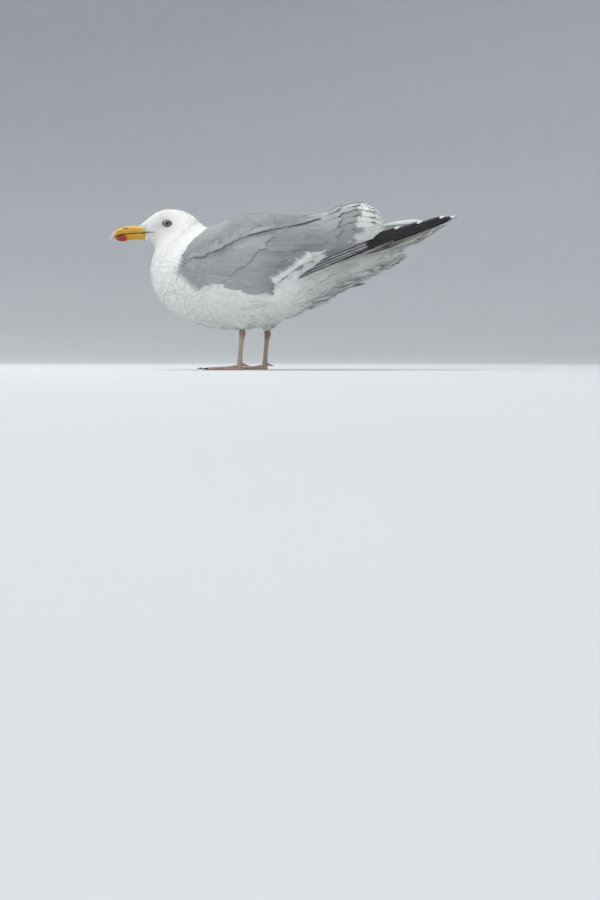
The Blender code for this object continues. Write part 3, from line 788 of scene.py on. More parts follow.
bare = np.ones_like(length)  # 0 where nothing grows
for middle in EYE_CENTRE.values():
    bare[(past_eye(skin_x, skin_z, middle) < 1.0) & (skin_y * middle[1] > 0)] = 0.0
bare[(stations[:, None] < 9.0) & (np.abs(skin_z - 216.2) < 3.6)] = 0.0  # nor in the corner of the mouth
bare[(skin_x > 128) & (skin_z > 205)] = 0.0  # nor under the last tertials
FACE_ROWS, NECK_ROWS = 21, 62
ROOT_SPACING, ROOTS_TRIED = 0.19, 90000  # the gap between roots as a share of a vane's length
draw = np.random.default_rng(4)
row, column = scattered(length * ROOT_SPACING, bare, draw, ROOTS_TRIED)
body_roots = roots_from(row, column, draw, width=0.50, tilt=2.3, jitter=0.08)
rows, is_grey = body_roots["row"], body_roots["grey"]
for part, mask, vanes, ruffle in (
    ("face_feathers", rows < FACE_ROWS, fine_vanes, 0.04),
    ("neck_feathers", (rows >= FACE_ROWS) & (rows < NECK_ROWS) & ~is_grey, fine_vanes, 0.04),
    ("body_feathers", (rows >= NECK_ROWS) & ~is_grey, fine_vanes, 0.05),
    ("back_feathers", (rows >= FACE_ROWS) & is_grey, broad_vanes, 0.03),
):
    coat = feathered(part, picked(body_roots, mask), vanes, plumage_finish, ruffle, 7)
    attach(coat, "root")


# ---------------------------------------------------------------- wing feathers
# The folded wing from the shoulder back: greater coverts, secondaries with white ends, and the big
# tertials that are lifted over the rump. Each is one long vane on a shaft, laid on the body, with its
# lower edge over the feather below and its upper edge under the one above.
BLADE_STEPS = 10


def tube_faces(start, rings, ring, looped=False):
    """The faces between rings of points numbered from start. Both ends are closed, unless they meet."""
    faces = []
    for i in range(rings if looped else rings - 1):
        row, following = start + i * ring, start + (i + 1) % rings * ring
        for a in range(ring):
            b = (a + 1) % ring
            faces.append((row + a, row + b, following + b, following + a))
    if not looped:
        last = start + (rings - 1) * ring
        faces += [tuple(range(start, start + ring)), tuple(reversed(range(last, last + ring)))]
    return faces


class Blades:
    """Long vanes gathered into one mesh."""

    def __init__(self):
        self.points, self.faces, self.uv, self.outs = [], [], [], []
        self.kept = {"tone": [], "shade": [], "stain": [], "along": [], "across": []}

    def add(self, path, out, half, root_uv, draw, tone=1.0, tip_tone=None, tip_share=0.1, shade=0.0,
            stain=0.0, tip_stain=None, thick=0.5, camber=0.10, roll=0.0, blunt=0.5, uneven=0.0, frays=2):
        """One vane along a path of points, its outer side towards out. tip_tone and tip_stain are those of
        its end."""
        path, out = np.asarray(path, float), np.asarray(out, float)
        count = len(path)
        ahead = np.gradient(path, axis=0)
        ahead /= np.linalg.norm(ahead, axis=1, keepdims=True)
        side = np.cross(out, ahead)
        side /= np.linalg.norm(side, axis=1, keepdims=True)
        out = np.cross(ahead, side)
        self.outs += np.repeat(out, 6, 0).tolist()
        if roll:
            turn, tilt = math.cos(roll), math.sin(roll)
            side, out = side * turn + out * tilt, out * turn - side * tilt
        share = np.linspace(0, 1, count)
        narrowing = np.clip((1 - share) / (0.30 * blunt + 0.02), 0.02, 1) ** 0.5
        wide = half * np.minimum(1.0, 0.45 + 1.6 * share) * narrowing
        marks = ((tone, tip_tone), (stain, tip_stain), tip_share, shade, root_uv)
        left, right = wide * (1 + uneven), wide * (1 - uneven)
        for _ in range(frays):
            at = draw.integers(count // 3, count - 1)
            which = left if draw.random() < 0.5 else right
            which[at] *= draw.uniform(0.72, 0.9)
        start = len(self.points)
        for i in range(count):
            slim = thick * (1 - 0.7 * share[i])
            for across in (-1.0, -0.5, 0.0, 0.5, 1.0):
                reach = (left if across < 0 else right)[i] * across
                drop = camber * wide[i] * abs(across) ** 1.6
                rise = slim * (1 - abs(across)) - drop
                self.points.append(path[i] + side[i] * reach + out[i] * rise)
                self.note(across, share[i], *marks)
            self.points.append(path[i] - out[i] * (slim * 0.3 + camber * wide[i] * 0.5))
            self.note(0.0, share[i], *marks)
        self.faces += tube_faces(start, count, 6)

    def note(self, across, share, tones, stains, tip_share, shade, root_uv):
        """What is kept on one point: its colours, its place on the vane and that on the unwrap."""
        blend = np.clip((share - (1 - tip_share) + 0.04 * abs(across)) / 0.05, 0, 1)
        tone, stain = (a if b is None else a * (1 - blend) + b * blend for a, b in (tones, stains))
        for key, number in zip(self.kept, (tone, shade, stain, share, across)):
            self.kept[key].append(number)
        self.uv.append((root_uv[0] + across * OFBAKE_PATCH / 2, root_uv[1] + share * OFBAKE_PATCH))

    def build(self, name, finish):
        """The mesh of all the vanes so far, on the body."""
        obj = mesh_object(name, self.points, self.faces, finish)
        turned_out(obj.data)
        for key, numbers in self.kept.items():
            keep(obj.data, key, numbers)
        layer = obj.data.attributes.new("outward", "FLOAT_VECTOR", "POINT")
        layer.data.foreach_set("vector", np.array(self.outs, np.float32).reshape(-1))
        settled(obj.data, 0.7)
        obj.data.attributes.remove(obj.data.attributes["outward"])
        unwrap(obj.data, self.uv)
        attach(obj, "root")
        return obj


def root_place(point):
    """Where a point is on the skin's unwrap."""
    gap = np.linalg.norm(surface - np.asarray(point), axis=2)
    k, j = np.unravel_index(gap.argmin(), gap.shape)
    return j / SKIN_SIDES, unwrap_height(k)


def on_side(x, z, sign):
    """The point of the body's side at x and z, and the way out of it."""
    hit, normal, _, _ = body_shell.ray_cast(Vector((x, sign * 200, z)), Vector((0, -sign, 0)))
    if hit is None:
        hit, normal, _, _ = body_shell.find_nearest(Vector((x, sign * 40, z)))
        normal = Vector((0, sign, 0.3)).normalized()
    return np.array(hit), np.array(normal)


def laid(start, end, sign, lift, bow=0.0):
    """A path on the body's side from one x, z to another, lifted off it by amounts at both ends."""
    start, end = np.asarray(start, float), np.asarray(end, float)
    across = np.array([-(end - start)[1], (end - start)[0]])
    path, outs = [], []
    for t in np.linspace(0, 1, BLADE_STEPS):
        x, z = start + (end - start) * t + across * bow * math.sin(math.pi * t)
        hit, normal = on_side(x, z, sign)
        path.append(hit)
        outs.append(normal)
    path, outs = smoothed(np.array(path), 3), smoothed(np.array(outs), 3)
    outs /= np.linalg.norm(outs, axis=1, keepdims=True)
    raised = (lift[0] + (lift[1] - lift[0]) * np.linspace(0, 1, BLADE_STEPS) ** 0.8)[:, None]
    return path + outs * raised, outs


def spread(points, count, power=1.0):
    """Evenly spaced places along a line of x, z points."""
    points = np.asarray(points, float)
    steps = np.concatenate([[0], np.cumsum(np.linalg.norm(np.diff(points, axis=0), axis=1))])
    at = np.linspace(0, 1, count) ** power * steps[-1]
    return np.stack([np.interp(at, steps, points[:, 0]), np.interp(at, steps, points[:, 1])], 1)


def along_skin(row, column, reach, lift, steps=9, drift=0.0):
    """A path over the skin from a row and column, back along the body, lifted by amounts at both ends."""
    path, outs = [], []
    pace = reach / (steps - 1)
    at, far = np.array([float(row)]), np.array([float(column)])
    for i in range(steps):
        here, out = grid_sample(surface, at, far)[0], grid_sample(normals, at, far)[0]
        past_end = at[0] >= SKIN_STATIONS - 2 and path
        path.append(path[-1] + (path[-1] - path[-2]) if past_end else here)
        out = outs[-1] if past_end else out
        outs.append(out / np.linalg.norm(out))
        one_row = np.linalg.norm(grid_sample(surface, at + 1, far)[0] - here) + 1e-6
        at = np.minimum(at + pace / one_row, SKIN_STATIONS - 1.5)
        far = far + drift / steps
    path, outs = np.array(path), np.array(outs)
    raised = (lift[0] + (lift[1] - lift[0]) * np.linspace(0, 1, steps) ** 1.4)[:, None]
    return path + outs * raised, outs


WING_ROWS = {
    # name: count, roots, tips, half-width, lift at root and tip, share of the tip that differs, roll
    "secondaries": (
        24, ((-84, 132), (-66, 152), (-36, 176), (-10, 196)),
        ((-40, 117), (-24, 120), (-6, 135), (22, 156), (50, 175)),
        6.6, (-4.2, 0.0), 0.19, 0.06,
    ),
    "greater_coverts": (
        24, ((-116, 138), (-96, 160), (-70, 182), (-42, 204)),
        ((-62, 123), (-34, 138), (-8, 158), (20, 186), (40, 210)),
        6.0, (-4.2, -0.9), 0.05, 0.05,
    ),
    "median_coverts": (
        22, ((-142, 146), (-118, 170), (-90, 190)), ((-94, 134), (-70, 150), (-44, 172), (-16, 204)),
        5.5, (-4.2, -1.2), 0.05, 0.05,
    ),
    "tertials": (
        26, ((-30, 186), (-14, 200), (4, 220), (38, 246)),
        ((84, 190), (112, 197), (136, 204), (150, 214), (157, 226), (158, 237), (150, 250), (132, 259)),
        7.0, (-4.0, 1.3), 0.18, 0.06,
    ),
    "scapulars": (
        30,
        ((-149, 177), (-137, 181), (-111, 186), (-92, 195), (-79, 205), (-60, 213), (-23, 224), (14, 232)),
        ((-130, 174.5), (-111, 179), (-92, 188), (-79, 198), (-60, 206.5), (-23, 217), (10, 224), (31, 229),
         (60, 236)),
        5.2, (-2.9, 0.1), 0.05, 0.18,
    ),
}
ROW_SCATTER = {"scapulars": 0.5, "secondaries": 0.9, "tertials": 0.9}  # millimetres; else 3.5
ROW_SHADE = {"scapulars": -1.2, "tertials": -1.5}
# the tertials that meet over the rump lie in tiers, on each side between two columns and two end rows
TOP_TIERS, TOP_TIER_FEATHERS = 4, 11
TOP_COLUMNS, TOP_END_ROWS, TOP_ROOT_X = (35, 1), (146, 182), 40.0
WHITE_FROM = {"secondaries": -8.0, "tertials": 118.0}  # x from which a row's feathers end in white
draw = np.random.default_rng(11)
for side, sign in (("left", -1), ("right", 1)):
    wing = Blades()
    for row_name, (count, roots, tips, half, lift, tip_share, roll) in WING_ROWS.items():
        scatter, shading = ROW_SCATTER.get(row_name, 3.5), ROW_SHADE.get(row_name, 0.0)
        lag, camber = (1.35, 0.16) if row_name == "scapulars" else (1.0, 0.10)
        for start, end in zip(spread(roots, count, lag), spread(tips, count)):
            start = start + draw.normal(0, scatter, 2)
            end = end + draw.normal(0, scatter * 0.8, 2) * (1.0, 0.4)
            path, outs = laid(start, end, sign, lift, draw.normal(0, 0.01))
            is_white = end[0] > WHITE_FROM.get(row_name, 1000.0)
            base_tone = 1.0 - (0.25 * draw.random() if row_name == "tertials" else 0.06 * draw.random())
            wing.add(
                path, outs, half * draw.uniform(0.9, 1.1), root_place(path[0]), tone=base_tone,
                tip_tone=0.0 if is_white else base_tone * 0.94, tip_share=tip_share * draw.uniform(0.8, 1.3),
                shade=draw.normal(shading, 0.35), roll=roll * sign, camber=camber,
                stain=max(0.0, draw.normal(0.02, 0.08)) if row_name == "tertials" else 0.0, draw=draw,
            )
    for i in range(TOP_TIERS * TOP_TIER_FEATHERS):
        tier, turn = divmod(i, TOP_TIER_FEATHERS)
        share = tier / (TOP_TIERS - 1)
        turn = (turn + 0.5 * (tier % 2) + draw.uniform(-0.2, 0.2)) / (TOP_TIER_FEATHERS - 0.5)
        column = sign * (TOP_COLUMNS[0] + (TOP_COLUMNS[1] - TOP_COLUMNS[0]) * turn)
        line = surface[:, int(round(column)) % SKIN_SIDES]
        end_row = TOP_END_ROWS[0] + (TOP_END_ROWS[1] - TOP_END_ROWS[0]) * (1 - share) - draw.uniform(0, 4)
        row = max(np.abs(line[:, 0] - TOP_ROOT_X).argmin(), end_row - draw.uniform(26, 40))
        reach = np.linalg.norm(np.diff(line, axis=0), axis=1)[int(row) : int(end_row)].sum()
        drift = draw.normal(0, 0.5)
        path, outs = along_skin(row, column, reach, (-3.0, 0.3 + 1.2 * share), 12, drift)
        base_tone = 1.0 - 0.22 * draw.random()
        wing.add(
            path, outs, 6.8 * draw.uniform(0.85, 1.1), root_place(path[0]), tone=base_tone,
            tip_tone=0.0 if path[-1][0] > 126 else base_tone * 0.94,
            tip_share=(0.42 - 0.2 * share) * draw.uniform(0.8, 1.2),
            shade=draw.normal(-0.5 - 1.8 * share, 0.4), roll=0.09 * sign,
            stain=max(0.0, draw.normal(0.04, 0.08)), draw=draw,
        )
    made = wing.build(f"wing_feathers_{side}", plumage_finish)


# ---------------------------------------------------------------- bill
# Two horn sheaths, yellow with a red spot at the angle of the lower one. The upper one hooks over it
# and has a slit nostril in each side. Both run into the feathers of the face.
MOUTH_HEIGHT = ((-268.0, 213.2), (-258.0, 214.6), (-240.0, 215.6), (-226.0, 216.2), (-212.0, 216.4))  # x, z
NOSTRIL = (-250.0, 222.6)  # x, z of the middle of the slit
NOSTRIL_LENGTH, NOSTRIL_LEAN = 9.0, 1.2
RED_SPOT = (-257.8, 208.0)
BILL_YELLOW = (0.58, 0.295, 0.018)
BILL_RED = (0.31, 0.024, 0.006)
BILL_HORN = (0.62, 0.55, 0.36)
NOSTRIL_SHADE = (0.035, 0.018, 0.010)
BILL_ROOT = 8.0  # how far the horn goes on under the skin


def remeshed(name, nodes, voxel, rounds):
    """The merged copy of CAD nodes as one even, softened mesh, with voxels in millimetres."""
    points, faces, _ = merged(nodes)
    obj = mesh_object(name, points, faces.tolist())
    form = bmesh.new()
    form.from_mesh(obj.data)
    bmesh.ops.remove_doubles(form, verts=form.verts, dist=1e-6)
    form.to_mesh(obj.data)
    form.free()
    even = obj.modifiers.new("even", "REMESH")
    even.mode = "VOXEL"
    even.voxel_size = voxel * MM
    soft = obj.modifiers.new("soft", "SMOOTH")
    soft.factor = 0.5
    soft.iterations = rounds
    bpy.context.view_layer.update()
    mesh = bpy.data.meshes.new_from_object(obj.evaluated_get(bpy.context.evaluated_depsgraph_get()))
    obj.modifiers.clear()
    obj.data = mesh
    mesh.shade_smooth()
    return obj


def points_of(obj):
    """An object's points, in millimetres."""
    found = np.empty(len(obj.data.vertices) * 3)
    obj.data.vertices.foreach_get("co", found)
    return found.reshape(-1, 3) / MM


def move_to(obj, points):
    """Moves an object's points to places in millimetres."""
    obj.data.vertices.foreach_set("co", (points * MM).reshape(-1).astype(np.float32))
    obj.data.update()


def eased_step(value, low, high):
    """0 below low, 1 above high and a soft step between."""
    t = np.clip((value - low) / (high - low), 0, 1)
    return t * t * (3 - 2 * t)


bill_horn = Finish("bill_horn", {"Specular IOR Level": 0.5, "Coat Roughness": 0.25})
spot, x, _, z = bill_horn.spot()
x, z = x * 1000.0, z * 1000.0
streaks = bill_horn.noise(bill_horn.stretched(spot, (60.0, 260.0, 420.0)), 1.0, 3.0)
cloud = bill_horn.noise(spot, 160.0, 3.0)
red = ((x - RED_SPOT[0]) / 10.6) ** 2.0 + ((z - RED_SPOT[1]) / 6.2) ** 2.0 + (cloud - 0.5) * 0.5
slit = ((x - NOSTRIL[0] + (z - NOSTRIL[1]) * NOSTRIL_LEAN) / (NOSTRIL_LENGTH / 2)) ** 2.0
slit = slit + ((z - NOSTRIL[1]) / 1.0) ** 2.0
base = bill_horn.layered(
    BILL_YELLOW,
    (streaks.rise(0.35, 0.7) * 0.5, (0.64, 0.37, 0.035)),
    (x.rise(-238.0, -222.0) * 0.35, (0.58, 0.40, 0.08)),  # paler at the root
    (red.rise(2.4, 1.0) * 0.5, (0.55, 0.17, 0.012)),  # orange about the spot
    (red.rise(1.15, 0.55) * z.rise(213.8, 212.4), BILL_RED),
    (x.rise(-263.0, -271.5) * 0.85, BILL_HORN),
    # the nostril slit, painted near-black as the shade inside its opening
    (slit.rise(1.3, 0.5) * 0.92, NOSTRIL_SHADE),
    (z.rise(224.0, 228.0) * 0.25, (0.45, 0.26, 0.05)),  # the ridge of the upper half
)
bill_horn.finish(base, 0.30 + cloud * 0.18, streaks, 0.0003, 0.35)

for half in ("upper", "lower"):
    nodes = (f"bill_{half}",)
    sheath = remeshed(f"bill_{half}_horn", nodes, 0.55, 4)
    p = points_of(sheath)
    p[:, 0] += BILL_ROOT * eased_step(p[:, 0], -232.0, -222.0)
    if half == "upper":
        u = (p[:, 0] - NOSTRIL[0] + (p[:, 2] - NOSTRIL[1]) * NOSTRIL_LEAN) / (NOSTRIL_LENGTH / 2)
        v = (p[:, 2] - NOSTRIL[1]) / 1.3
        p[:, 1] -= np.sign(p[:, 1]) * 1.3 * np.exp(-((u**2 + v**2) ** 1.2))
        groove = np.exp(-(((p[:, 2] - 217.9) / 0.9) ** 2)) * (p[:, 0] < -228)
        p[:, 1] -= np.sign(p[:, 1]) * 0.35 * groove
    over_mouth = p[:, 2] - np.interp(p[:, 0], *zip(*MOUTH_HEIGHT))
    if half == "upper":  # the cutting edges meet closely
        p[:, 2] -= 0.9 * (1 - eased_step(over_mouth, 1.0, 4.0))
    else:
        p[:, 2] += 0.5 * eased_step(over_mouth, -3.5, -0.5)
    move_to(sheath, p)
    sheath.data.materials.append(bill_horn.material)
    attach(sheath, "root")
    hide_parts(*nodes)

# the dark line of the mouth: a lining between the sheaths and a fold of gape skin that runs on over the cheek,
# both near-black, partly the gape's own dark skin and partly painted shadow in the seam
mouth = Finish("mouth", {"Specular IOR Level": 0.3})
spot, *_ = mouth.spot()
cloud = mouth.noise(spot, 500.0, 2.0)
gape_and_shadow_tint = mouth.mix(cloud, (0.030, 0.020, 0.016), (0.070, 0.048, 0.036))
mouth.finish(gape_and_shadow_tint, 0.5 + cloud * 0.2, cloud, 0.0002, 0.4)
upper_tree = BVHTree.FromPolygons(*(part.tolist() for part in corners("bill_upper")))
lining = []
for x in np.linspace(-266.0, -212.0, 28):
    z = float(np.interp(x, *zip(*MOUTH_HEIGHT)))
    hit = upper_tree.ray_cast(Vector((x, -40.0, z + 1.2)), Vector((0, 1, 0)))[0]
    wide = min(abs(hit.y), 6.6) - 0.45 if hit is not None and abs(hit.y) > 1.0 else 5.2
    lining += [(x, y, z + h) for y, h in ((-wide, -0.6), (wide, -0.6), (wide, 0.6), (-wide, 0.6))]
fold, fold_faces = lining, tube_faces(0, 28, 4)
FOLD_STEPS, FOLD_RING = 12, 6
for sign in (-1, 1):
    ways = []
    for x in np.linspace(-224.0, -199.0, FOLD_STEPS):
        z = 216.4 - (x + 224) * 0.02
        hit = body_shell.ray_cast(Vector((x, sign * 60.0, z)), Vector((0, -sign, 0)))[0]
        ways.append(np.array(hit) if hit is not None else np.array((x, sign * 7.2, 216.4)))
    fold_faces += tube_faces(len(fold), FOLD_STEPS, FOLD_RING)
    for i, spot_at in enumerate(smoothed(np.array(ways), 3)):
        size = 0.75 * (1 - i / (FOLD_STEPS - 1)) ** 0.6 + 0.05
        for a in (2 * math.pi * k / FOLD_RING for k in range(FOLD_RING)):
            fold.append(spot_at + np.array((0, sign * (0.25 + size * 0.5 * math.cos(a)), size * math.sin(a))))
mouth_line = mesh_object("mouth_line", fold, fold_faces, mouth.material)
turned_out(mouth_line.data)
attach(mouth_line, "root")


# ---------------------------------------------------------------- eyes and lids
# Glassy balls with a pale iris and a wide black pupil, set in a dark, bare ring of lid.
PUPIL, IRIS, EYE_BALL = 3.1, 5.2, 8.0
LID_WIDE, LID_HIGH = 6.2, 3.9  # half the opening, along and up
LID_TURNS = 56
LID_SECTION = (  # share of the opening, rise off the ball and the face
    (0.95, -1.2), (0.98, 0.25), (1.06, 0.42), (1.18, 0.22), (1.30, -0.35), (1.34, -2.5),
)
face_shell = BVHTree.FromPolygons(skin_verts.tolist(), skin_faces)


def eye_axes(finish):
    """Object coordinates, and how far along and up from the eyes' middle, in millimetres."""
    spot, x, _, z = finish.spot()
    return spot, x * 1000.0 - EYE_CENTRE["left"].x, z * 1000.0 - EYE_CENTRE["left"].z


eye_glass = Finish("eye_glass", {"Specular IOR Level": 0.5, "Coat Weight": 0.5, "Coat Roughness": 0.04})
spot, x, z = eye_axes(eye_glass)
far = (x * x + z * z) ** 0.5
rays = eye_glass.noise(eye_glass.stretched(spot, (500.0, 40.0, 500.0)), 2.0, 3.0)
iris_tint = eye_glass.layered(
    (0.21, 0.195, 0.14),
    (rays.rise(0.3, 0.7), (0.34, 0.32, 0.25)),
    (far.rise(3.9, IRIS) * 0.8, (0.12, 0.10, 0.06)),
    (far.rise(PUPIL + 0.25, PUPIL - 0.15), (0.004, 0.004, 0.005)),
    (far.rise(IRIS - 0.1, IRIS + 0.5), (0.020, 0.017, 0.015)),
)
eye_glass.finish(iris_tint, 0.10 + rays * 0.06)

lid_skin = Finish("lid_skin", {"Specular IOR Level": 0.35})
spot, x, z = eye_axes(lid_skin)
far = ((x / 1.2) ** 2.0 + z * z) ** 0.5
grain = lid_skin.noise(spot, 900.0, 2.0)
rim_tint = lid_skin.mix(far.rise(4.6, 5.9), (0.026, 0.021, 0.020), (0.17, 0.155, 0.145))
lid_skin.finish(lid_skin.lit(rim_tint, 0.8 + grain * 0.4), 0.55 + grain * 0.2, grain, 0.0002, 0.5)


def face_out(middle, x, z, sign):
    """How far the skin stands out beyond the ball's middle, at x and z from it."""
    hit = face_shell.ray_cast(Vector((middle[0] + x, sign * 60.0, middle[2] + z)), Vector((0, -sign, 0)))[0]
    return abs(hit.y) - abs(middle[1])


for side, sign in (("left", -1), ("right", 1)):
    middle = np.array(EYE_CENTRE[side])
    form = bmesh.new()
    bmesh.ops.create_uvsphere(form, u_segments=48, v_segments=32, radius=EYE_BALL * MM)
    bmesh.ops.transform(form, matrix=Matrix.Rotation(math.pi / 2, 4, "X"), verts=form.verts)
    for vertex in form.verts:
        x, ball, z = vertex.co.x / MM, vertex.co.y * sign / MM, vertex.co.z / MM
        if ball <= 0:
            continue  # the inner half
        face = face_out(middle, x, z, sign)
        bulge = 0.5 * max(0.0, 1 - (math.hypot(x, z) / IRIS) ** 2)
        shut = np.clip((math.hypot(x / LID_WIDE, z / LID_HIGH) - 1.08) / 0.12, 0.0, 1.0)
        shown, hidden = max(ball + bulge, face + 0.25), min(ball, face - 0.9)
        vertex.co.y = sign * MM * (shown + (hidden - shown) * shut)
    bmesh.ops.translate(form, vec=Vector(middle) * MM, verts=form.verts)
    mesh = bpy.data.meshes.new(f"eyeball_{side}")
    form.to_mesh(mesh)
    form.free()
    mesh.shade_smooth()
    mesh.materials.append(eye_glass.material)
    ball = bpy.data.objects.new(f"eyeball_{side}", mesh)
    scene.collection.objects.link(ball)
    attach(ball, "root")
    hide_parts(f"eye_{side}")

    lid_points = []
    for i in range(LID_TURNS):
        a = 2 * math.pi * i / LID_TURNS
        corner_pull = 1 + 0.10 * max(0.0, math.cos(2 * a)) ** 4
        for share, rise in LID_SECTION:
            x = LID_WIDE * share * corner_pull * math.cos(a)
            z = LID_HIGH * (share + (share - 0.95) * (0.9 if a < math.pi else 0.5)) * math.sin(a) - 0.08 * x
            on_ball = math.sqrt(max(EYE_BALL**2 - x * x - z * z, 0))
            on_face = face_out(middle, x, z, sign)
            on_ball = max(on_ball, on_face + 0.25)
            mixed = on_face + 0.6 + (on_ball - on_face - 0.6) * np.interp(share, (1.06, 1.34), (1.0, 0.0))
            lid_points.append(middle + np.array([x, sign * (mixed + rise), z]))
    lid_faces = tube_faces(0, LID_TURNS, len(LID_SECTION), looped=True)
    lids = mesh_object(f"lids_{side}", lid_points, lid_faces, lid_skin.material)
    turned_out(lids.data)
    round_off = lids.modifiers.new("round", "SUBSURF")
    round_off.levels = round_off.render_levels = 1
    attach(lids, "root")


# ---------------------------------------------------------------- primaries
# Long flight feathers of the folded wing, each a vane on a shaft, stacked with the longest lowest. They
# are black with white ends, and grey where the secondaries cover their bases.
QUILL_STEPS = 34
QUILL_ACROSS = (-1.0, -0.75, -0.45, -0.2, -0.05, 0.05, 0.3, 0.65, 1.0)
QUILL_THICK, SHAFT_RISE, QUILL_CAMBER = 0.45, 0.35, 0.9
QUILL_ROOT_X, QUILL_SHOWS_X = 22.0, 66.0
SHORT_QUILL_END = 158.0  # the fifth quill, which the solids leave out
GREY_END = 132.0  # how far back the grey reaches
SLIVER_LINE = (  # the pale inner feather that shows over the black ones
    (118, 27, 217), (150, 21.5, 225.5), (180, 15.5, 231), (200, 11.5, 233.5), (214, 9.0, 234.6),
    (222, 7.8, 235.2),
)
SLIVER_WIDTHS = (0.5, 1.6, 3.4, 4.2, 3.2, 0.5)


def quill_line(side, rank, tip_x):
    """The middles of a quill's sections, its half-widths and the way across it, from base to tip. All
    follow the lowest quill, each a step higher and further in."""
    points, _ = corners(f"primary_{side}_1")
    low, second = (np.array(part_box(f"primary_{side}_{i}")) / MM for i in (1, 2))
    end = 0 if side == "left" else 1
    step = np.array([0.0, second[end][1] - low[end][1], second[0][2] - low[0][2]])
    rows = []
    for x in np.unique(points[:, 0].round(1)):
        section = np.unique(points[np.abs(points[:, 0] - x) < 0.06].round(2), axis=0)
        off = section - section.mean(0)
        way = np.linalg.svd(off)[2][0]
        rows.append((*section.mean(0), *(way * np.sign(way[2])), np.ptp(off @ way) / 2))
    rows = np.array(rows)
    at = np.linspace(QUILL_ROOT_X, tip_x, 40)
    dense = np.stack([np.interp(at, rows[:, 0], rows[:, i]) for i in range(6)], 1)
    slope = (rows[1, :3] - rows[0, :3]) / (rows[1, 0] - rows[0, 0])
    ahead = (at - rows[0, 0]).clip(None, 0)[:, None]
    dense[:, 0] = at
    dense[:, 1:3] += ahead * slope[1:]
    wide = rows[:, 6].max() * np.interp(tip_x - at, [0, 3, 8, 19, 37, 60], [0.10, 0.32, 0.5, 0.72, 0.92, 1.0])
    sunk = (QUILL_SHOWS_X - at).clip(0, None) * 0.30  # the root runs in under the plumage
    dense[:, 1] -= np.sign(dense[:, 1]) * sunk
    return dense[:, :3] + step * rank, wide, dense[:, 3:6]


def quill_mesh(target, line, wide, across, sign, rank):
    """One vane added to the running lists of target."""
    at = np.linspace(0, 1, QUILL_STEPS) ** 0.8
    reach = np.concatenate([[0], np.cumsum(np.linalg.norm(np.diff(line, axis=0), axis=1))])
    spots = at * reach[-1]
    middle = np.stack([np.interp(spots, reach, line[:, i]) for i in range(3)], 1)
    side = np.stack([np.interp(spots, reach, across[:, i]) for i in range(3)], 1)
    side /= np.linalg.norm(side, axis=1, keepdims=True)
    half = np.interp(spots, reach, wide)
    ahead = np.gradient(middle, axis=0)
    ahead /= np.linalg.norm(ahead, axis=1, keepdims=True)
    out = np.cross(ahead, side)
    out *= np.sign(out[:, 1:2]) * sign
    start = len(target["points"])
    for i in range(QUILL_STEPS):
        left = reach[-1] - spots[i]
        for under in (False, True):
            for a in reversed(QUILL_ACROSS) if under else QUILL_ACROSS:
                edge = 1 - abs(a) ** 4
                rise = QUILL_THICK * edge * (-1 if under else 1) - QUILL_CAMBER * a * a
                rise += SHAFT_RISE * (abs(a) < 0.06) * (0 if under else 1)
                lap = a * half[i] * (1 - 0.04 * math.sin(spots[i] * 0.9 + rank * 2) * (abs(a) > 0.9))
                target["points"].append(middle[i] + side[i] * lap + out[i] * rise)
                for key, number in (("tip", left), ("across", a), ("rank", rank)):
                    target[key].append(number)
                target["uv"].append((a * half[i] / 400 + 0.09 * rank + 0.1, spots[i] / 400))
    target["faces"] += tube_faces(start, QUILL_STEPS, 2 * len(QUILL_ACROSS))


quill_horn = Finish("quills", {"Specular IOR Level": 0.3})
spot, x, *_ = quill_horn.spot()
x = x * 1000.0
tip, across, rank = quill_horn.kept("tip"), quill_horn.kept("across"), quill_horn.kept("rank")
strands = quill_horn.noise(quill_horn.stretched(spot, (12.0, 260.0, 260.0)), 1.0, 3.0, 0.6)
barbs = quill_horn.noise(quill_horn.stretched(spot, (160.0, 700.0, 700.0), (0.0, 0.5, 0.0)), 1.0, 2.0)
grey = quill_horn.layered(
    (0.27, 0.265, 0.285),
    (strands.rise(0.35, 0.65), (0.44, 0.44, 0.45)),
    (across.rise(-0.62, -0.80) * 0.85, (0.055, 0.05, 0.06)),  # dark outer web at the lower edge, partly painted shadow of the gap below
    (across.rise(-0.25, 0.0) * across.rise(0.5, 0.2) * 0.35, (0.62, 0.62, 0.63)),
)
black = quill_horn.mix(strands.rise(0.3, 0.7), (0.007, 0.0065, 0.008), (0.017, 0.0155, 0.0185))
black_share = (x + (strands - 0.5) * 34.0).rise(GREY_END - 3.0, GREY_END + 2.0)
black_share = black_share.most((across + (GREY_END - x) * 0.006).rise(-0.30, -0.42) * rank.rise(0.5, 0.4))
pale = quill_horn.mix(strands, (0.60, 0.63, 0.60), (0.74, 0.76, 0.76))
white_end = (tip + (strands - 0.5) * 5.0 + across * across * 3.0).rise(14.0, 11.0)
base = quill_horn.layered(
    grey,
    (black_share, black),
    (white_end * across.rise(-0.95, -0.7), (0.72, 0.73, 0.74)),
    (rank.rise(5.5, 5.6), pale),  # the inner sliver
)
quill_horn.finish(quill_horn.lit(base, 0.9 + barbs * 0.2), 0.50 + barbs * 0.25, barbs, 0.0003, 0.5)

for side, sign in (("left", -1), ("right", 1)):
    nodes = [f"primary_{side}_{i}" for i in (1, 2, 3, 4)]
    target = {key: [] for key in ("points", "faces", "tip", "across", "rank", "uv")}
    for rank_number, tip_x in enumerate([*(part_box(node)[1][0] / MM for node in nodes), SHORT_QUILL_END]):
        line, wide, across_way = quill_line(side, rank_number, tip_x)
        quill_mesh(target, line, wide, across_way, sign, rank_number)
    sliver = np.array(SLIVER_LINE) * np.array([1, sign, 1])
    quill_mesh(target, sliver, np.array(SLIVER_WIDTHS), np.tile(across_way[:1], (6, 1)), sign, 6)
    quills = mesh_object(f"primaries_{side}", target["points"], target["faces"], quill_horn.material)
    turned_out(quills.data)
    for key in ("tip", "across", "rank"):
        keep(quills.data, key, target[key])
    unwrap(quills.data, target["uv"])
    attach(quills, "root")
    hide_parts(*nodes)


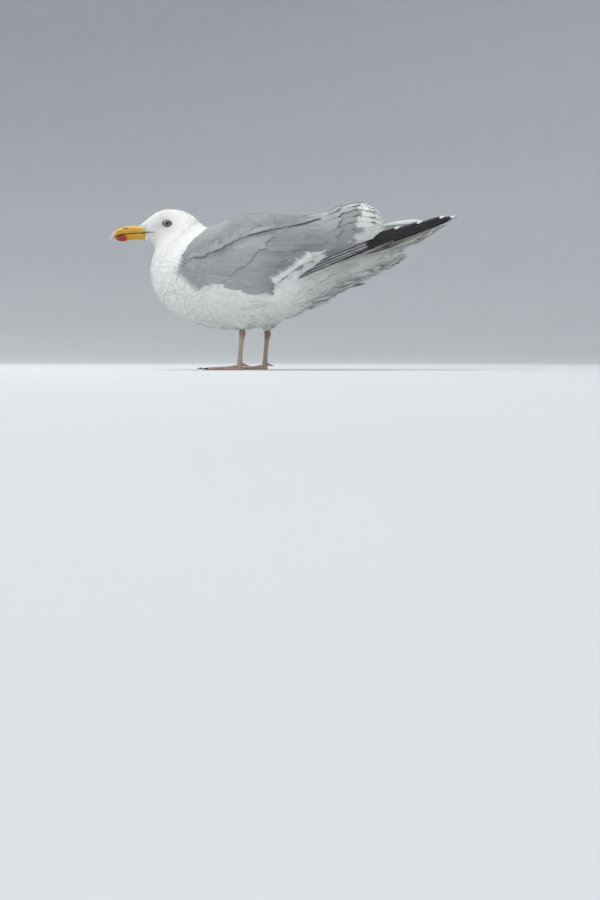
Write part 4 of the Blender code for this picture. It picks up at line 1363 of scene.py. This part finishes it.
# ---------------------------------------------------------------- tail and the long coverts about it
# Twelve tail feathers under one another like tiles, and long loose coverts below the rump whose worn,
# dark ends break the outline. All are rooted in the rump. Short tufts hide the tops of the legs.
TAIL_FEATHERS = 12
TAIL_STEPS = 16
TAIL_ROOT_X, TAIL_BASE_X = 96.0, 109.0  # the feathers' roots lie ahead of where the tail shows
tail_points, tail_faces = corners("tail")
tail_tree = BVHTree.FromPolygons(tail_points.tolist(), tail_faces.tolist())


def tail_middle(x, y):
    """The height half-way through the tail at x, y."""
    x, y = min(x, tail_points[:, 0].max() - 1.0), float(np.clip(y, -44.0, 44.0))
    above = tail_tree.ray_cast(Vector((x, y, 400)), Vector((0, 0, -1)))[0]
    below = tail_tree.ray_cast(Vector((x, y, -100)), Vector((0, 0, 1)))[0]
    if above is None or below is None:
        near = tail_tree.find_nearest(Vector((x, y, 150 + 0.36 * x)))[0]
        return near.z
    return (above.z + below.z) / 2


def tail_end(y):
    """How far back the tail reaches at y."""
    near = np.abs(np.abs(tail_points[:, 1]) - abs(y)) < 4.0
    return tail_points[near, 0].max()


tail_vane = Finish("tail_vanes", {"Specular IOR Level": 0.25, "Sheen Weight": 0.1, "Sheen Roughness": 0.6})
spot, _, y, _ = tail_vane.spot()
y = y.size() * 1000.0
along, across = tail_vane.kept("along"), tail_vane.kept("across")
strands = tail_vane.noise(tail_vane.stretched(spot, (14.0, 300.0, 300.0)), 1.0, 3.0, 0.6)
cloud = tail_vane.noise(spot, 26.0, 3.0)
edge = (along + (strands - 0.5) * 0.12 + (cloud - 0.5) * 0.3)
mark = edge.rise(0.80, 0.85) * edge.rise(0.99, 0.95) * (across.size() + cloud * 0.6).rise(0.75, 0.95)
base = tail_vane.layered(
    # painted shade: the white tail is coloured grey throughout, as it looks in shadow from below
    (0.29, 0.295, 0.285),
    (strands.rise(0.3, 0.7), (0.39, 0.395, 0.38)),
    (cloud.rise(0.5, 0.68) * along.rise(0.5, 0.8) * 0.4, (0.42, 0.36, 0.30)),
    (mark * (0.35 + y.rise(16.0, 30.0) * 0.6), (0.035, 0.035, 0.042)),  # worn dark ends
)
tail_vane.finish(base, 0.62 + strands * 0.2, strands, 0.0003, 0.5)

tail = Blades()
draw = np.random.default_rng(23)
for i in range(TAIL_FEATHERS):
    share = (i + 0.5) / TAIL_FEATHERS * 2 - 1
    y_root, y_tip = share * 20.0, share * 38.5
    x_tip = tail_end(y_tip) - draw.uniform(0.0, 2.0)
    path = []
    for t in np.linspace(0, 1, TAIL_STEPS):
        x, y = TAIL_ROOT_X + (x_tip - TAIL_ROOT_X) * t, y_root + (y_tip - y_root) * t
        drop = max(0.0, TAIL_BASE_X - x) * 0.38
        path.append((x, y, tail_middle(max(x, TAIL_BASE_X), y) - drop + 0.9 - 1.8 * abs(share)))
    outs = np.tile([-0.36, share * 0.38, 1.0], (TAIL_STEPS, 1))
    tail.add(
        smoothed(np.array(path)), outs, draw.uniform(8.2, 8.8), (0.5 + share * 0.1, 0.97), tone=0.0,
        shade=draw.normal(0, 0.2), thick=0.7, camber=0.03, roll=0.05 * np.sign(share), blunt=0.35,
        uneven=0.12 * np.sign(share), frays=3, draw=draw,
    )
tail_object = tail.build("tail_feathers", tail_vane.material)
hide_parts("tail")


LONG_COVERTS = (
    # name, count, rows, columns from the lowest line, length, half-width, lift at tip, chance of a worn end
    ("undertail", 300, (116, 178), 34, (26, 42), 4.2, (-0.6, 1.2), 0.0),
    ("ragged_line", 60, (122, 178), 8, (22, 36), 2.6, (2.0, 7.5), 0.55),
    ("flank_tufts", 22, (90, 101), 0, (13, 20), 2.4, (0.3, 1.6), 0.0),
)
for name, count, (first_row, last_row), spread_out, reach, half, lift, worn in LONG_COVERTS:
    tufts = Blades()
    draw = np.random.default_rng(31)
    for i in range(count):
        row = first_row + (last_row - first_row) * (i + draw.random()) / count
        column = SKIN_SIDES / 2 + draw.uniform(-spread_out, spread_out)
        if name == "flank_tufts":
            column = SKIN_SIDES / 2 + (-1) ** i * draw.uniform(8, 16)
        long, raised = draw.uniform(*reach), draw.uniform(*lift)
        path, outs = along_skin(row, column, long, (-2.2, raised), drift=draw.normal(0, 0.6))
        is_worn = draw.random() < worn
        shade = np.interp(row, [101, 116, 148], [0.4, -0.5, -3.3])  # the further back, the deeper in shadow
        root_uv = (column / SKIN_SIDES, 0.01 + 0.98 * row / SKIN_STATIONS)
        tufts.add(
            path, outs, half * draw.uniform(0.8, 1.2), root_uv,
            tone=0.10 * draw.random(), shade=draw.normal(shade, 0.4), tip_stain=0.85 if is_worn else 0.0,
            tip_share=draw.uniform(0.15, 0.4), thick=0.3, camber=0.05, roll=draw.normal(0, 0.06), blunt=1.6,
            frays=4, draw=draw,
        )
    tufts_object = tufts.build(name, plumage_finish)

# Short feathers round the top of each leg, where the thigh ends.
CUFF_FEATHERS = 46
CUFF_RINGS = ((65.5, 4.4, 7.0), (67.0, 6.6, 8.5), (69.5, 9.0, 9.5), (72.0, 11.0, 9.0))  # z, radius, length
cuffs = Blades()
draw = np.random.default_rng(41)
for side in ("left", "right"):
    shank = corners(f"shank_{side}")[0]
    leg_x, leg_y = shank[:, 0].mean() + 1.0, shank[:, 1].mean()
    for z_root, far, long in CUFF_RINGS:
        for i in range(CUFF_FEATHERS):
            a = 2 * math.pi * (i + draw.random()) / CUFF_FEATHERS
            way = np.array((math.cos(a), math.sin(a), 0.0))
            reach = long * draw.uniform(0.65, 1.2)
            back = draw.uniform(0.0, 0.25)
            path, outs = [], []
            for t in np.linspace(0, 1, 7):
                near = far * (1 - 0.22 * t) + 0.5
                x, y = leg_x + way[0] * near + back * reach * t, leg_y + way[1] * near
                path.append((x, y, z_root + 3 - reach * t * 0.8))
                outs.append(way + np.array((0, 0, -0.15)))
            cuffs.add(
                path, outs, 1.3 * draw.uniform(0.8, 1.2), root_place(path[0]), tone=0.04,
                shade=draw.normal(-0.3, 0.3), thick=0.25, camber=0.06, blunt=1.5, frays=2, draw=draw,
            )
cuffs_object = cuffs.build("thigh_cuffs", plumage_finish)


# ---------------------------------------------------------------- legs, feet and claws
# Bare flesh-pink legs with plates down the front, three webbed toes and a small raised hind toe, all one
# skin. Dark claws are set into the toes' ends.
LEG_PINK, JOINT_TINT, WEB_TINT = (0.52, 0.37, 0.31), (0.27, 0.17, 0.16), (0.56, 0.38, 0.33)
leg_hide = Finish("leg_hide", {"Specular IOR Level": 0.35})
spot, *_, z = leg_hide.spot()
high = z * 1000.0
cloud = leg_hide.noise(spot, 90.0, 4.0)
cells = leg_hide.place("ShaderNodeTexVoronoi", None, {"Vector": spot, "Scale": 620.0})
plates = (z * 2200.0 + cloud * 2.0).wave()
front = leg_hide.kept("front")
toe_lines = (leg_hide.kept("toe") * 2.4).wave()
relief = leg_hide.mix(front, cells, plates * 0.5 + 0.5)
base = leg_hide.layered(
    LEG_PINK,
    (cloud.rise(0.35, 0.65), (0.55, 0.43, 0.35)),
    (high.rise(44.0, 58.0) * 0.75, JOINT_TINT),  # darker towards the top of the leg
    (high.rise(9.0, 4.0) * 0.6, WEB_TINT),
)
base = leg_hide.mix(cells.rise(0.0, 0.45) * 0.22, leg_hide.lit(base, 0.78), base)
base = leg_hide.mix(front * plates.rise(-0.6, -1.0) * 0.4, base, JOINT_TINT)
leg_hide.finish(base, 0.48 + cloud * 0.2, relief * 0.8 + toe_lines * leg_hide.kept("low") * 0.2, 0.0005, 0.6)

claw_horn = Finish("claw_horn", {"Specular IOR Level": 0.5})
spot, *_ = claw_horn.spot()
streaks = claw_horn.noise(claw_horn.stretched(spot, (90.0, 700.0, 700.0)), 1.0, 3.0)
claw_tint = claw_horn.mix(streaks, (0.020, 0.016, 0.015), (0.075, 0.058, 0.050))
claw_horn.finish(claw_tint, 0.30 + streaks * 0.2, streaks, 0.0002, 0.4)

for side in ("left", "right"):
    nodes = (f"shank_{side}", f"foot_{side}", f"hallux_{side}")
    leg = remeshed(f"leg_{side}", nodes, 0.75, 5)
    p = points_of(leg)
    middle = corners(nodes[0])[0][:, :2].mean(0)
    p[:, 2] = np.maximum(p[:, 2], 0.0)
    p[:, 2][p[:, 2] < 0.6] *= 0.4  # the soles lie flat on the floor
    turn = np.arctan2(p[:, 1] - middle[1], -(p[:, 0] - middle[0]))
    standing = eased_step(p[:, 2], 9.0, 14.0)
    move_to(leg, p)
    keep(leg.data, "front", standing * np.exp(-((turn / 0.9) ** 2)))
    keep(leg.data, "low", 1 - standing)
    keep(leg.data, "toe", np.hypot(p[:, 0] - middle[0], p[:, 1] - middle[1]))
    leg.data.materials.append(leg_hide.material)
    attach(leg, "root")
    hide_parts(*nodes)
    for toe in ("hallux", "inner", "middle", "outer"):
        claw = remeshed(f"claw_horn_{side}_{toe}", (f"claw_{side}_{toe}",), 0.22, 2)
        claw.data.materials.append(claw_horn.material)
        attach(claw, "root")
        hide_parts(f"claw_{side}_{toe}")
